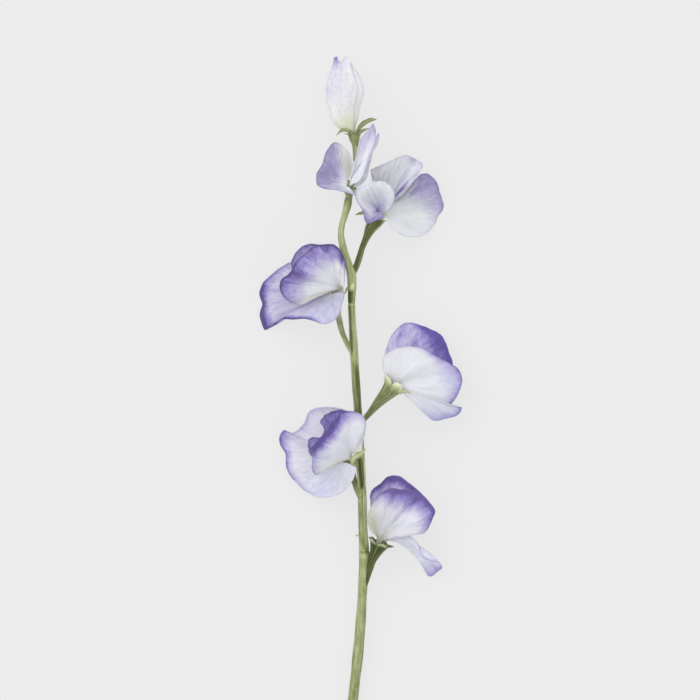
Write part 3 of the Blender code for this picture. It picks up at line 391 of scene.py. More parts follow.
            (37.5, 114, 9.5), (40, 108, 6), (42, 99, 0.2), (40, 96.5, 0.7), (37.5, 91, 3),
            (33.5, 87, 5), (26.5, 85, 9), (21, 85.5, 12), (16, 88.5, 15)),
        "violet": (10, 40, 60, 62, 55, 50, 50, 30, 10, 5, 2, 2, 2),
        "reach": (30, 50, 60, 60, 60, 50, 40, 25, 25, 20, 20, 20, 20), "wash": 0,
        "marks": (("grey_shade", 5, 70, 10, 30, 90), ("grey_shade", 75, 70, 10, 20, 40),
            ("violet", 28, 75, 12, 25, 30), ("grey_shade", 35, 60, 25, 40, 50)),
        "folds": ((-0.6, 3, 25, 40, 28, 100, 0), (0.5, 3, 55, 40, 55, 100, 0))},
    "bloom_5_wing_far": {
        "claw": (-0.3, 0.5, 0), "throw": 4, "belly": (0, 0, 2), "wave": (0.4, 5, 0),
        "crimp": 1.7,
        "rim": ((8, 112.5, 22), (5.5, 118, 22), (9, 119.5, 22.5), (13, 121.5, 23),
            (16.5, 123, 23), (23, 125.5, 22), (28, 123, 20.5), (31.5, 120.5, 20),
            (29.5, 116.5, 21), (26, 111.5, 22), (22, 107, 22)),
        "violet": (15, 20, 20, 15, 10, 12, 22, 25, 25, 30, 15), "reach": 20, "wash": 8,
        "marks": (("grey_shade", 30, 70, 25, 35, 110), ("violet", 78, 62, 10, 13, 70)),
        "folds": ((0.9, 3, 30, 50, 34, 100, 0), (-1, 3, 62, 40, 58, 100, 20),
            (0.9, 2.2, 72, 40, 74, 90, 35), (-0.8, 2.2, 80, 40, 82, 90, 10),
            (0.8, 2.2, 86, 40, 90, 90, 35))},
    "bloom_5_wing_near": {
        "claw": (-0.5, -1.7, 0), "throw": 5, "lift": (0, 0, 4), "belly": (0, 0, 5),
        "wave": (0.3, 4, 0),
        "rim": ((13, 94, 26.5), (9, 92.5, 27.5), (3.5, 91, 28), (1, 98, 29), (-1.5, 102, 29.5),
            (-2.5, 107.5, 29), (3, 110, 30), (7.5, 112, 30.5), (12.5, 112, 30), (16, 108.5, 29),
            (17.2, 103, 27), (16.4, 98.5, 25)),
        "violet": (75, 90, 90, 60, 45, 35, 8, 5, 5, 10, 20, 40),
        "reach": (90, 90, 60, 30, 20, 20, 10, 10, 10, 15, 20, 60), "wash": 4, "foot": 20,
        "marks": (("grey_shade", 55, 65, 25, 30, 90), ("violet", 40, 10, 60, 42, 80))},
    "bloom_6_standard": {
        "claw": (-1.5, 0, 90), "throw": 4, "belly": (0, 0, 0), "wave": (0.4, 4, 0),
        "rim": ((-2, 120, 24.5), (-4.5, 125, 25), (-7.5, 129, 25), (-12, 131.5, 24),
            (-16.5, 128.5, 21), (-19, 121, 18), (-22, 116, 15), (-21.5, 111, 15),
            (-18, 108.5, 18), (-12, 107.7, 22.5), (-7, 106, 26.3), (-2, 105, 27.3)),
        "violet": (0, 0, 2, 50, 62, 62, 62, 60, 55, 50, 50, 40),
        "reach": (40, 40, 40, 100, 100, 95, 95, 90, 80, 70, 60, 60), "wash": 0, "foot": 40,
        "marks": (("grey_shade", 12, 60, 10, 40, 120), ("green", 10, 55, 11, 35, 80),
            ("violet", 50, 65, 20, 35, 30), ("grey_shade", 50, 60, 30, 40, 35),
            ("blue", 90, 70, 8, 40, 50)),
        "folds": ((-0.8, 3, 22, 10, 24, 100, 0),)},
    "bloom_6_wing_near": {
        "claw": (-0.5, 0, 90), "throw": 5, "belly": (0, 0, 1), "wave": (0.3, 4, 0),
        "crimp": 1.5,
        "rim": ((-4.4, 114, 27.5), (-3, 119.5, 28.5), (-1.5, 126, 29), (0, 132, 28.5),
            (2.6, 136, 28.5), (6.4, 140.7, 30), (8, 137, 31.5), (6.8, 130, 33),
            (4.8, 123.5, 33), (2.6, 117, 32), (-0.5, 112, 30)),
        "violet": (10, 10, 10, 25, 30, 35, 30, 30, 30, 20, 10), "reach": 35, "wash": 6,
        "marks": (("violet", 62, 45, 3, 12, 80), ("violet", 45, 75, 10, 20, 20)),
        "folds": ((-0.6, 4, 50, 30, 50, 95, 10), (0.5, 3, 75, 30, 70, 95, 0))},
    "bloom_6_wing_far": {
        "claw": (1.3, 0, 90), "throw": 1.5, "belly": (0, 0, -0.5), "wave": (0.3, 4, 1),
        "rim": ((1, 115, 27.5), (2.5, 121, 28.5), (5, 127.5, 29), (8, 133, 28.5),
            (9.6, 136, 27.5), (9, 132, 25.5), (7, 127, 24.5), (5.4, 122, 24), (4.4, 117, 24.5),
            (2.2, 112, 25.5), (0, 109.5, 26)),
        "violet": (30, 30, 30, 30, 30, 20, 15, 10, 10, 5, 5), "reach": 40, "wash": 10},
}

# The closed bud is an egg of wrapped petals: x, y, z, half width and half depth of the
# egg from just past the calyx mouth to its top.
BUD_RINGS = (
    (-3.3, 136.7, 16, 1.5, 1.5), (-6.2, 139.2, 16.1, 4.6, 3.3), (-7.8, 143.5, 16.3, 6.7, 4.7),
    (-8.1, 148.5, 16.5, 7.6, 5.6), (-7.9, 154, 16.7, 9, 6.2), (-7.8, 158.5, 16.8, 9.6, 6.2),
    (-8.2, 163.5, 16.8, 8.2, 5.4), (-8.3, 168, 16.8, 6, 4.2), (-8.6, 172, 16.8, 4.4, 3.2),
    (-9, 175, 16.8, 3.6, 2.6),
)

# Each petal of the bud. arc: degrees it wraps round the egg, from +X towards +Z;
# inset: how far it lies inside the egg; aside: how far it swells to +X;
# top: its height at angles in degrees, as a share of the egg's; the rest as above.
BUD = {
    "bud_standard": {
        "arc": (50, 320), "inset": 0, "aside": 0, "wave": (0.2, 4, 0),
        "top": ((50, 0.97), (72, 1), (95, 0.92), (112, 0.92), (135, 1), (165, 0.98), (195, 0.9),
            (260, 0.85), (320, 0.8)),
        "violet": (10, 15, 15, 30, 85, 60, 50, 30, 10), "reach": 20, "wash": 5,
        "marks": (("violet", 32, 75, 20, 22, 20), ("violet", 50, 60, 3.5, 30, 40),
            ("grey_shade", 25, 50, 10, 30, 15), ("green", 12, 10, 12, 25, 80)),
        "folds": ((-0.5, 2, 33, 30, 36, 95, 5), (-0.4, 2, 20, 40, 22, 95, 0),
            (0.4, 1.5, 43, 20, 41, 90, 10))},
    "bud_wing_near": {
        "arc": (5, 100), "inset": 0.72, "aside": 2, "wave": (0.15, 3, 0),
        "top": ((5, 0.86), (40, 0.93), (75, 0.95), (100, 0.85)),
        "violet": (5, 10, 10, 10), "reach": 30, "wash": 0,
        "marks": (("green", 50, 20, 40, 25, 50),)},
    "bud_wing_far": {
        "arc": (-100, -5), "inset": 0.72, "aside": 2, "wave": (0.15, 3, 0),
        "top": ((-100, 0.7), (-50, 0.8), (-5, 0.82)),
        "violet": (5, 10, 10), "reach": 30, "wash": 0,
        "marks": (("green", 80, 30, 40, 30, 40),)},
}

# Each keel: claw as above, tip, half width, how deep its trough is, and which way it opens;
# then the colours of them all.
KEELS = {
    "bloom_1_keel": {
        "claw": (-0.5, 0.1, 0), "tip": (20, -53, 20), "half": 2.2, "deep": 2.4,
        "open": (0.2, 0.5, 0.6)},
    "bloom_2_keel": {
        "claw": (0.42, 0.5, 90), "tip": (-12, -18, 29), "half": 1, "deep": 0.6,
        "open": (-0.2, -0.3, 0.8)},
    "bloom_3_keel": {
        "claw": (0, 0.45, 0), "tip": (27, 22, 11), "half": 1.5, "deep": 0.8,
        "open": (0.3, -0.3, -0.6)},
    "bloom_4_keel": {
        "claw": (0.35, 0.5, 90), "tip": (-22, 61, 24.5), "half": 1.2, "deep": 0.6,
        "open": (-0.2, -0.3, 0.8)},
    "bloom_5_keel": {
        "claw": (-0.4, -0.45, 0), "tip": (14, 107, 26), "half": 2.2, "deep": 2,
        "open": (0, 0.2, 0.8)},
    "bloom_6_keel": {
        "claw": (0.35, 0, 90), "tip": (-1, 115, 28), "half": 1, "deep": 0.4, "open": (1, 0, 0)},
}
KEEL_PAINT = {"violet": (10, 25, 10), "reach": 30, "wash": 2,
              "marks": (("green", 50, 40, 50, 50, 40),)}

# Deep violet, violet, lilac and white of each bloom's petals, and the tint of their claws.
PALETTE = {
    "bloom_1": ((112, 96, 166), (164, 152, 212), (212, 207, 234), (246, 246, 250),
        (188, 192, 156)),
    "bloom_2": ((98, 80, 152), (162, 150, 212), (210, 206, 232), (244, 245, 248),
        (206, 212, 166)),
    "bloom_3": ((104, 88, 172), (166, 154, 216), (212, 207, 236), (242, 242, 246),
        (232, 234, 222)),
    "bloom_4": ((88, 74, 140), (160, 146, 208), (210, 206, 232), (246, 247, 248),
        (204, 209, 178)),
    "bloom_5": ((134, 124, 182), (172, 165, 210), (216, 214, 234), (244, 246, 248),
        (200, 206, 150)),
    "bloom_6": ((140, 132, 178), (164, 157, 198), (216, 214, 234), (248, 249, 250),
        (202, 205, 182)),
    "bud": ((156, 148, 204), (188, 181, 222), (228, 226, 242), (252, 252, 253),
        (240, 240, 206)),
}


def unit(vectors):
    """The vectors, each as long as 1."""
    vectors = np.asarray(vectors, float)
    return vectors / np.linalg.norm(vectors, axis=-1, keepdims=True)


def smooth(x):
    x = np.clip(x, 0, 1)
    return x * x * (3 - 2 * x)


def bump_at(values, centre, width):
    return np.exp(-(((values - centre) / width) ** 2))


def bumps(values, rows):
    """The sum of bumps given as centre, width and height."""
    return sum(height * bump_at(values, centre, width) for centre, width, height in rows)


def lengths(points):
    """How far along the line through the points each of them lies."""
    steps = np.linalg.norm(np.diff(np.asarray(points, float)[:, :3], axis=0), axis=1)
    return np.concatenate([[0.0], np.cumsum(steps)])


def curve(points, at):
    """A smooth curve through the points, read at places from 0 to 1 along its length."""
    points = np.asarray(points, float)
    knots = lengths(points)
    slopes = np.gradient(points, knots, axis=0)
    places = np.asarray(at, float) * knots[-1]
    index = np.clip(np.searchsorted(knots, places, side="right") - 1, 0, len(points) - 2)
    width = (knots[index + 1] - knots[index])[:, None]
    t = (places - knots[index])[:, None] / width
    first = (2 * t**3 - 3 * t**2 + 1) * points[index]
    first = first + (t**3 - 2 * t**2 + t) * width * slopes[index]
    second = (3 * t**2 - 2 * t**3) * points[index + 1]
    return first + second + (t**3 - t**2) * width * slopes[index + 1]


def bezier(p0, p1, p2, p3, t):
    t = np.asarray(t, float)[None, :, None]
    p0, p1, p2, p3 = (p[:, None, :] for p in (p0, p1, p2, p3))
    near = (1 - t) ** 3 * p0 + 3 * t * (1 - t) ** 2 * p1
    return near + 3 * t**2 * (1 - t) * p2 + t**3 * p3


def ways_of(path):
    """The direction of a path at each of its points."""
    return unit(np.gradient(path[:, :3], axis=0))


def normals(grid):
    """The unit normal of a grid of points at each of them."""
    facing = np.cross(np.gradient(grid, axis=0), np.gradient(grid, axis=1))
    return facing / np.maximum(np.linalg.norm(facing, axis=2, keepdims=True), 1e-9)


def right_of(way):
    """The direction across a way that is nearest to +X."""
    return unit(np.array((1.0, 0.0, 0.0)) - way[0] * way)


def around(right, up, angle):
    """Directions at these angles round from right towards up."""
    return right * np.cos(angle)[:, None] + up * np.sin(angle)[:, None]


def mouth_frame(bloom):
    """Axis of a calyx, the right and up directions across its mouth, and its middle."""
    axis = unit(CALYX[bloom]["axis"])
    right = right_of(axis)
    return axis, right, np.cross(axis, right), np.array(CALYX[bloom]["mouth"], float)


def foot(bloom, claw, way, places):
    """The two rows of points of a claw: its end deep in the calyx, and just past the mouth."""
    axis, right, up, mouth = mouth_frame(bloom)
    turn = math.radians(claw[2])
    across = right * math.cos(turn) + up * math.sin(turn)
    if np.dot(across, way) > 0:
        across = -across
    place = right * claw[0] + up * claw[1]
    wide = across * (2 * places[:, None] - 1) * CLAW_HALF
    deep = mouth - axis * CLAW_DEPTH + place + wide
    past = mouth + axis * CLAW_RISE + place * PLACE_SPREAD + wide * CLAW_SPREAD
    return deep, past, axis


def bloom_of(name):
    return "bud" if name.startswith("bud") else name[:7]


def kind_of(name):
    return name[len(bloom_of(name)) + 1:]


def seed_of(name):
    return sum(ord(letter) * (k + 1) for k, letter in enumerate(name))


def wander(random, knots, u):
    """A smooth random line from about -1 to 1 with that many knots along u."""
    heights = random.uniform(-1, 1, knots + 3)
    at = np.clip(u, 0, 1) * knots
    index = np.clip(at.astype(int), 0, knots - 1)
    share = smooth(at - index)
    return heights[index] * (1 - share) + heights[index + 1] * share


def along_line(line, u, v):
    """1 on a fold's line between two places of a sheet, fading to 0 over its width."""
    width, *ends = np.array(line[1:6]) / 100
    start, end = np.reshape(ends, (2, 2))
    across = np.stack([u, v], axis=-1) - start
    way = end - start
    share = np.clip((across @ way) / (way @ way), 0, 1)
    off = np.linalg.norm((across - share[..., None] * way) * (1.0, 0.6), axis=-1)
    return np.exp(-(off / width) ** 2) * np.sin(math.pi * (0.12 + 0.76 * share)) ** 0.5


def ripples(name, u, v):
    """Waves, crimps, folds and pleats of a petal, as a height off its middle face."""
    random = np.random.default_rng(seed_of(name))
    data = PETALS.get(name) or BUD.get(name)
    height, number, phase = data["wave"]
    lift = height * v**WAVE_RISE * np.sin(2 * math.pi * number * u + phase)
    for knots, size, power in CRIMPS:
        lift = lift + size * data.get("crimp", 1.0) * wander(random, knots, u) * v**power
    knots, size = LONG_PLEATS
    lift = lift + size * wander(random, knots, u) * np.sin(math.pi * v) ** 2
    for line in data.get("folds", ()):
        lift = lift + line[0] * along_line(line, u, v)
    knots, size = FINE_PLEATS
    return lift + size * wander(random, knots, u) * v * (1.4 - v)


def notches(name, u):
    """How far the rim stands in or out of its smooth line."""
    random = np.random.default_rng(seed_of(name) + 1)
    return sum(size * wander(random, knots, u) for knots, size in NICKS)


def whole_sheet(name, deep, grid, places, out):
    """A petal's grid from the end of its claw, rippled, and the places u and v of its points."""
    grid = np.concatenate([deep[:, None, :], grid], axis=1)
    u, v = np.meshgrid(places, np.concatenate([[0.0], out]), indexing="ij")
    if name not in KEELS:
        grid = grid + normals(grid) * ripples(name, u, v)[:, :, None]
    return grid, u, v


def petal_grid(name):
    """The middle face of a fan-shaped petal, and its places u round the rim and v out."""
    data = PETALS[name]
    round_cells, out_cells = CELLS[kind_of(name)]
    places = np.linspace(0, 1, round_cells + 1)
    rim = curve(data["rim"], places)
    deep, past, axis = foot(bloom_of(name), data["claw"], rim[0] - rim[-1], places)
    rim = rim + unit(rim - past) * notches(name, places)[:, None]
    reach = np.linalg.norm(rim - past, axis=1)[:, None]
    leave = past + axis * np.minimum(data["throw"], 0.5 * reach)
    leave = leave + np.array(data.get("lift", (0, 0, 0)), float)
    belly = np.array(data["belly"], float)
    if belly.ndim > 1:
        belly = belly[0] + (belly[1] - belly[0]) * places[:, None]
    short = np.clip(reach / FULL_REACH, 0.2, 1.0)
    arrive = past + (rim - past) * ARRIVE_AT + belly * short
    out = np.linspace(0, 1, out_cells)
    return whole_sheet(name, deep, bezier(past, leave, arrive, rim, out), places, out)


def bud_grid(name):
    """The middle face of a petal wrapped round the bud, and its u round it and v along."""
    data = BUD[name]
    round_cells, out_cells = CELLS[kind_of(name)]
    places = np.linspace(0, 1, round_cells + 1)
    first, last = data["arc"]
    degrees = first + (last - first) * places
    angle = np.radians(degrees)
    top = np.interp(degrees, *np.array(data["top"], float).T)
    soft = np.hanning(15) / np.hanning(15).sum()
    top = np.convolve(np.pad(top, len(soft) // 2, mode="edge"), soft, mode="valid")
    out = np.linspace(0, 1, out_cells)
    at = top[:, None] * out[None, :]
    rings = curve(BUD_RINGS, at.ravel()).reshape(*at.shape, 5)
    inset = data["inset"] * (1 + 1.2 * np.clip(8 * at, 0, 1))
    outward = np.clip(np.cos(angle), 0, 1)[:, None] ** 3
    grid = rings[:, :, :3].copy()
    grid[:, :, 0] += np.cos(angle)[:, None] * (rings[:, :, 3] - inset) \
        + data["aside"] * outward * np.clip(4 * at, 0, 1)
    grid[:, :, 2] += np.sin(angle)[:, None] * (rings[:, :, 4] - inset)
    axis, right, up, mouth = mouth_frame("bud")
    radius = BUD_CLAW * (BUD_RINGS[0][3] - data["inset"])
    deep = mouth - axis * CLAW_DEPTH + around(right, -up, angle) * radius
    return whole_sheet(name, deep, grid, places, out)


def keel_grid(name):
    """The middle face of a boat-shaped keel, and its u across it and v along."""
    data = KEELS[name]
    across_cells, long_cells = CELLS["keel"]
    tip = np.array(data["tip"], float)
    opening = unit(data["open"])
    places = np.linspace(0, 1, across_cells + 1)
    deep, past, axis = foot(bloom_of(name), data["claw"], (0, 0, 0), places)
    middle = past.mean(axis=0)[None, :]
    reach = np.linalg.norm(tip - middle)
    out = np.linspace(0, 1, long_cells)
    leave = middle + axis * KEEL_THROW * reach
    spine = bezier(middle, leave, middle + (tip - middle) * KEEL_ARRIVE, tip[None, :], out)[0]
    side = unit(np.cross(unit(tip - middle[0]), opening))
    if np.dot(side, past[-1] - past[0]) < 0:
        side = -side
    s = (2 * places - 1)[:, None, None]
    t = out[None, :, None]
    swell = np.sin(math.pi * np.clip(0.12 + 0.8 * t, 0, 1)) ** 0.8
    blunt = np.sqrt(np.clip(1 - t**8, 0.04, 1))
    grid = spine[None, :, :] + side * s * data["half"] * swell * blunt
    grid = grid + opening * (np.abs(s) ** 1.4) * data["deep"] * swell * t**0.5
    begin = smooth(t * 6)
    grid = past[:, None, :] * (1 - begin) + grid * begin
    return whole_sheet(name, deep, grid, places, out)


def paint_fields(name, u, v):
    """How violet, green and blue a petal is at each place, and how much painted shade it has,
    from 0 to 1.
    """
    data = PETALS.get(name) or BUD.get(name) or KEEL_PAINT
    if name in PETALS:
        places = lengths(data["rim"])
    elif name in BUD:
        places = np.array(data["top"])[:, 0] - data["arc"][0]
    else:
        places = np.arange(len(data["violet"]))
    places = places / places[-1]
    strength = np.interp(u, places, data["violet"]) / 100
    reach = np.interp(u, places, np.broadcast_to(data["reach"], len(places))) / 100
    fade = smooth((v - 1 + reach) / reach)
    fields = {
        "violet": np.maximum(strength * fade, data["wash"] / 100 * smooth(2 * v)),
        "green": data.get("foot", 90) / 100 * (1 - smooth(v / CLAW_GREEN)),
        "blue": np.zeros_like(u),
        "grey_shade": np.zeros_like(u),
    }
    for colour, *numbers in data.get("marks", ()):
        mark_u, mark_v, wide, long, amount = np.array(numbers) / 100
        spot = np.exp(-((u - mark_u) / wide) ** 2 - ((v - mark_v) / long) ** 2)
        fields[colour] = np.clip(fields[colour] + amount * spot, 0, 1)
    for line in data.get("folds", ()):
        fold = line[6] / 100 * along_line(line, u, v)
        fields["violet"] = np.clip(fields["violet"] + fold, 0, 1)
    return fields


def new_thing(name, data):
    """An object in the scene that shows a mesh, a lamp or a camera."""
    thing = bpy.data.objects.new(name, data)
    bpy.context.scene.collection.objects.link(thing)
    return thing


def new_object(name, points, faces, fields, material):
    """A mesh object in the frame with smooth faces and a value of each field per point."""
    points = (np.asarray(points, float).reshape(-1, 3) + SHIFT) * MM
    mesh = bpy.data.meshes.new(name)
    mesh.from_pydata(points.tolist(), [], faces)
    mesh.polygons.foreach_set("use_smooth", np.ones(len(mesh.polygons), bool))
    for key, values in fields.items():
        values = np.asarray(values, np.float32)
        kind, slot = ("FLOAT_VECTOR", "vector") if values.ndim == 3 else ("FLOAT", "value")
        made = mesh.attributes.new(key, kind, "POINT")
        made.data.foreach_set(slot, values.ravel())
    mesh.materials.append(material)
    mesh.update()
    return new_thing(name, mesh)


def grid_faces(rows, columns, start=0, turned=False, wrap=False):
    """Four-cornered faces of a grid of points, wrapped round in rows if asked."""
    faces = []
    for i in range(rows if wrap else rows - 1):
        for j in range(columns - 1):
            a = start + i * columns + j
            b = start + ((i + 1) % rows) * columns + j
            face = (a, b, b + 1, a + 1)
            faces.append(face[::-1] if turned else face)
    return faces


def closed_sheet(name, grid, thick, fields, material):
    """A thin closed sheet on a grid, as thick at each point as given, with its fields."""
    rows, columns = grid.shape[:2]
    half = normals(grid) * thick[:, :, None] / 2
    count = rows * columns
    faces = grid_faces(rows, columns) + grid_faces(rows, columns, count, True)
    border = [i * columns for i in range(rows)]
    border += [(rows - 1) * columns + j for j in range(1, columns)]
    border += [i * columns + columns - 1 for i in range(rows - 2, -1, -1)]
    border += list(range(columns - 2, 0, -1))
    for k, one in enumerate(border):
        two = border[(k + 1) % len(border)]
        faces.append((two, one, count + one, count + two))
    both = {key: np.concatenate([values, values]) for key, values in fields.items()}
    return new_object(name, np.concatenate([grid + half, grid - half]), faces, both, material)


def closed_tube(name, grid, fields, material):
    """A tube on a grid of points round and along it, closed at both ends, with its fields."""
    sides, rows = grid.shape[:2]
    faces = grid_faces(sides, rows, wrap=True)
    faces.append(tuple(k * rows for k in range(sides))[::-1])
    faces.append(tuple(k * rows + rows - 1 for k in range(sides)))
    return new_object(name, grid, faces, fields, material)


def petal(name, grid, u, v, material):
    """A petal's sheet, thinner at its free edge, with the fields of its looks."""
    edge = np.minimum(1 - v, 0.25 * np.minimum(u, 1 - u) + 0.02)
    thick = RIM_THICK + (SHEET_THICK - RIM_THICK) * smooth(edge / THIN_BAND)
    round_mm = np.linalg.norm(np.diff(grid[:, -1], axis=0), axis=1).sum()
    out_mm = np.linalg.norm(np.diff(grid, axis=1), axis=2).sum(axis=1).mean()
    seed = np.full_like(u, seed_of(name) % 97 * SEED_STEP)
    fields = paint_fields(name, u, v)
    fields["place"] = np.stack([u * round_mm, v * out_mm, seed], axis=2)
    fields["rim"] = smooth((v - RIM_FROM) / (1 - RIM_FROM))
    return closed_sheet(name, grid, thick, fields, material)


class Value:
    """What a node of a material gives out, and what can be worked out from it."""

    def __init__(self, nodes, socket):
        self.nodes = nodes
        self.socket = socket

    def __add__(self, other):
        return self.nodes.math("ADD", self, other)

    def __sub__(self, other):
        return self.nodes.math("SUBTRACT", self, other)

    def __rsub__(self, other):
        return self.nodes.math("SUBTRACT", other, self)

    def __mul__(self, other):
        return self.nodes.math("MULTIPLY", self, other)

    def __pow__(self, other):
        return self.nodes.math("POWER", self, other)

    def __abs__(self):
        return self.nodes.math("ABSOLUTE", self)

    def clamped(self):
        """The same value, kept from 0 to 1."""
        self.socket.node.use_clamp = True
        return self


class Nodes:
    """A short way to build a material's nodes."""

    def __init__(self, name):
        self.material = bpy.data.materials.new(name)
        self.material.use_nodes = True
        self.tree = self.material.node_tree
        self.shader = self.tree.nodes["Principled BSDF"]

    def fill(self, node, inputs):
        """Gives a node its inputs: values of other nodes, or constants."""
        for key, value in inputs.items():
            if isinstance(value, Value):
                self.tree.links.new(value.socket, node.inputs[key])
            else:
                node.inputs[key].default_value = value

    def add(self, kind, output, inputs, **settings):
        """A new node with these settings and inputs, as the value that it gives out."""
        node = self.tree.nodes.new(kind)
        for key, value in settings.items():
            setattr(node, key, value)
        self.fill(node, inputs)
        return Value(self, node.outputs[output])

    def field(self, name, output="Fac"):
        return self.add("ShaderNodeAttribute", output, {}, attribute_name=name)

    def math(self, operation, one, two=0.0):
        return self.add("ShaderNodeMath", 0, {0: one, 1: two}, operation=operation)

    def span(self, value, low, high, to_low=0.0, to_high=1.0):
        """The value carried smoothly from one range into the other."""
        return self.add("ShaderNodeMapRange", 0, {
            "Value": value, "From Min": low, "From Max": high,
            "To Min": to_low, "To Max": to_high}, interpolation_type="SMOOTHSTEP")

    def noise(self, place, scales, detail, rough, bend=0.0):
        """Cloudy noise that is as fine across, along and from piece to piece as given."""
        stretched = self.add("ShaderNodeVectorMath", 0, {0: place, 1: scales},
                             operation="MULTIPLY")
        return self.add("ShaderNodeTexNoise", "Fac", {
            "Vector": stretched, "Scale": 1.0, "Detail": detail, "Roughness": rough,
            "Distortion": bend})

    def ridge(self, value, width):
        """1 on the thin lines where a noise passes its middle, and 0 off them."""
        return self.span(abs(value - 0.5), 0.0, width, 1.0, 0.0)

    def ramp(self, value, stops):
        """The colour that belongs to a value, between colours at these places."""
        ramp = self.add("ShaderNodeValToRGB", "Color", {"Fac": value})
        elements = ramp.socket.node.color_ramp.elements
        while len(elements) < len(stops):
            elements.new(0.5)
        for element, (place, colour) in zip(elements, stops):
            element.position = place
            element.color = colour
        return ramp

    def mix(self, share, one, two):
        return self.add("ShaderNodeMix", "Result", {"Factor": share, "A": one, "B": two},
                        data_type="RGBA")

    def bump(self, strength, distance, height):
        return self.add("ShaderNodeBump", 0, {"Strength": strength, "Distance": distance,
                                              "Height": height})


def linear(red, green, blue):
    """A colour given as 0 to 255 on a screen, as the linear values that shaders use."""
    values = np.array((red, green, blue)) / 255.0
    return (*np.where(values <= 0.04045, values / 12.92,
                      ((values + 0.055) / 1.055) ** 2.4), 1.0)


def petal_material(name, deep, mid, pale, white, claw):
    """A thin petal: violet that runs along its veins into white, and green at its claw."""
    n = Nodes(name)
    place = n.field("place", "Vector")
    violet, green, rim = n.field("violet"), n.field("green"), n.field("rim")
    streaks = n.noise(place, (1.0, 0.11, 1.0), 4.0, 0.65, 0.5)
    fine = n.noise(place, (3.0, 0.22, 1.0), 3.0, 0.6)
    cloud = n.noise(place, (0.28, 0.24, 1.0), 4.0, 0.65, 0.5)
    veins = n.ridge(n.noise(place, (0.7, 0.07, 1.3), 3.0, 0.55, 0.4), 0.03)
    nets = n.ridge(n.noise(place, (1.4, 0.5, 1.7), 2.0, 0.5, 0.8), 0.03)
    push = (streaks - 0.5) * 0.5 + (fine - 0.5) * 0.5 + (cloud - 0.52) * 1.4
    share = (violet + push * (violet * (1.6 - violet))).clamped()
    share = (share + rim * (violet * 0.30 + 0.05)).clamped()
    share = (share + veins * (violet * 0.26 + 0.03)).clamped()
    colour = n.ramp(share, ((0.0, white), (0.3, pale), (0.65, mid), (1.0, deep)))
    blue = n.field("blue") * n.span(cloud, 0.3, 0.7, 0.35, 0.8)
    colour = n.mix(blue, colour, linear(*BLUE_TINT))
    # Grey marks are painted shade on the petals.
    grey_shade = n.field("grey_shade") * n.span(streaks, 0.3, 0.7, 0.3, 0.7)
    colour = n.mix(grey_shade, colour, linear(*GREY_SHADE_TINT))
    colour = n.mix(green * n.span(streaks, 0.3, 0.7, 0.55, 0.9), colour, claw)
    colour = n.mix(rim**2.5 * (violet * 0.45 + 0.04), colour, deep)
    dim = veins * 0.10 + nets * 0.05 + n.span(cloud, 0.4, 0.8, 0.0, 0.08)
    colour = n.mix(dim, colour, linear(*DIM_TINT))
    bump = n.bump(0.45, 0.0003, streaks * 0.8 + veins * -0.35 + nets * -0.12)
    n.fill(n.shader, {
        "Base Color": colour, "Roughness": n.span(fine, 0.2, 0.8, 0.46, 0.62),
        "Normal": bump, "Specular IOR Level": 0.3,
        "Sheen Weight": 0.08, "Sheen Roughness": 0.4,
        "Subsurface Weight": 0.2, "Subsurface Radius": (0.0012, 0.0010, 0.0013),
        "Subsurface Scale": 1.0})
    through = n.add("ShaderNodeBsdfTranslucent", 0, {"Color": colour, "Normal": bump})
    both = n.add("ShaderNodeMixShader", 0, {
        0: 0.30, 1: Value(n, n.shader.outputs[0]), 2: through})
    n.fill(n.tree.nodes["Material Output"], {"Surface": both})
    return n.material


def green_material():
    """Stem and calyx: ribs, streaks, specks, and tones partly painted as shade and highlight."""
    n = Nodes("stem_surface")
    place = n.field("place", "Vector")
    shade, pale = n.field("shade"), n.field("pale")
    stripes = n.noise(place, (1.3, 0.05, 1.0), 4.0, 0.6, 0.2)
    cells = n.noise(place, (3.4, 1.3, 1.0), 4.0, 0.65)
    cloud = n.noise(place, (0.35, 0.16, 1.0), 3.0, 0.6)
    powder = n.noise(place, (2.4, 1.7, 2.0), 5.0, 0.75)
    specks = n.span(powder, 0.58, 0.70) * (0.45 - shade * 0.38)
    threads = n.ridge(n.noise(place, (1.6, 0.04, 1.4), 2.0, 0.5), 0.02)
    amount = (stripes - 0.5) * 1.8 + (cells - 0.5) * 1.1 + (cloud - 0.5) * 1.3
    colour = n.ramp((amount + 0.42).clamped(), (
        (0.0, linear(*GREEN_DARK)), (0.45, linear(*GREEN_MAIN)),
        (1.0, linear(*GREEN_LIGHT))))
    # The shade field mixes in dark green tone and painted shade, the pale field pale colour and
    # painted highlights.
    uneven = (shade * n.span(stripes, 0.3, 0.7, 1.15, 0.75)).clamped()
    for share, tint in ((uneven * 0.97, GREEN_DEEP_TONE_AND_SHADE), (pale * 0.85, GREEN_PALE),
                        ((pale - 1.0).clamped(), GREEN_WHITE),
                        (threads * 0.4, GREEN_THREAD), (specks, GREEN_POWDER)):
        colour = n.mix(share, colour, linear(*tint))
    n.fill(n.shader, {
        "Base Color": colour, "Roughness": n.span(cells, 0.2, 0.8, 0.48, 0.66),
        "Normal": n.bump(0.7, 0.0004, stripes * 1.2 + cells * 0.4 + threads * -0.15),
        "Specular IOR Level": 0.2, "Sheen Weight": 0.05, "Sheen Roughness": 0.4,
        "Subsurface Weight": 0.06, "Subsurface Radius": (0.0006, 0.0009, 0.0003)})
    return n.material


def tube_places(angle, length, around_mm, seed):
    """The place field of a tube: millimetres round it and along it, and a seed."""
    wide = np.abs(np.mod(angle, 2 * math.pi) - math.pi) * around_mm
    wide, length = np.meshgrid(wide, length, indexing="ij")
    return np.stack([wide, length, np.full_like(length, seed)], axis=2)


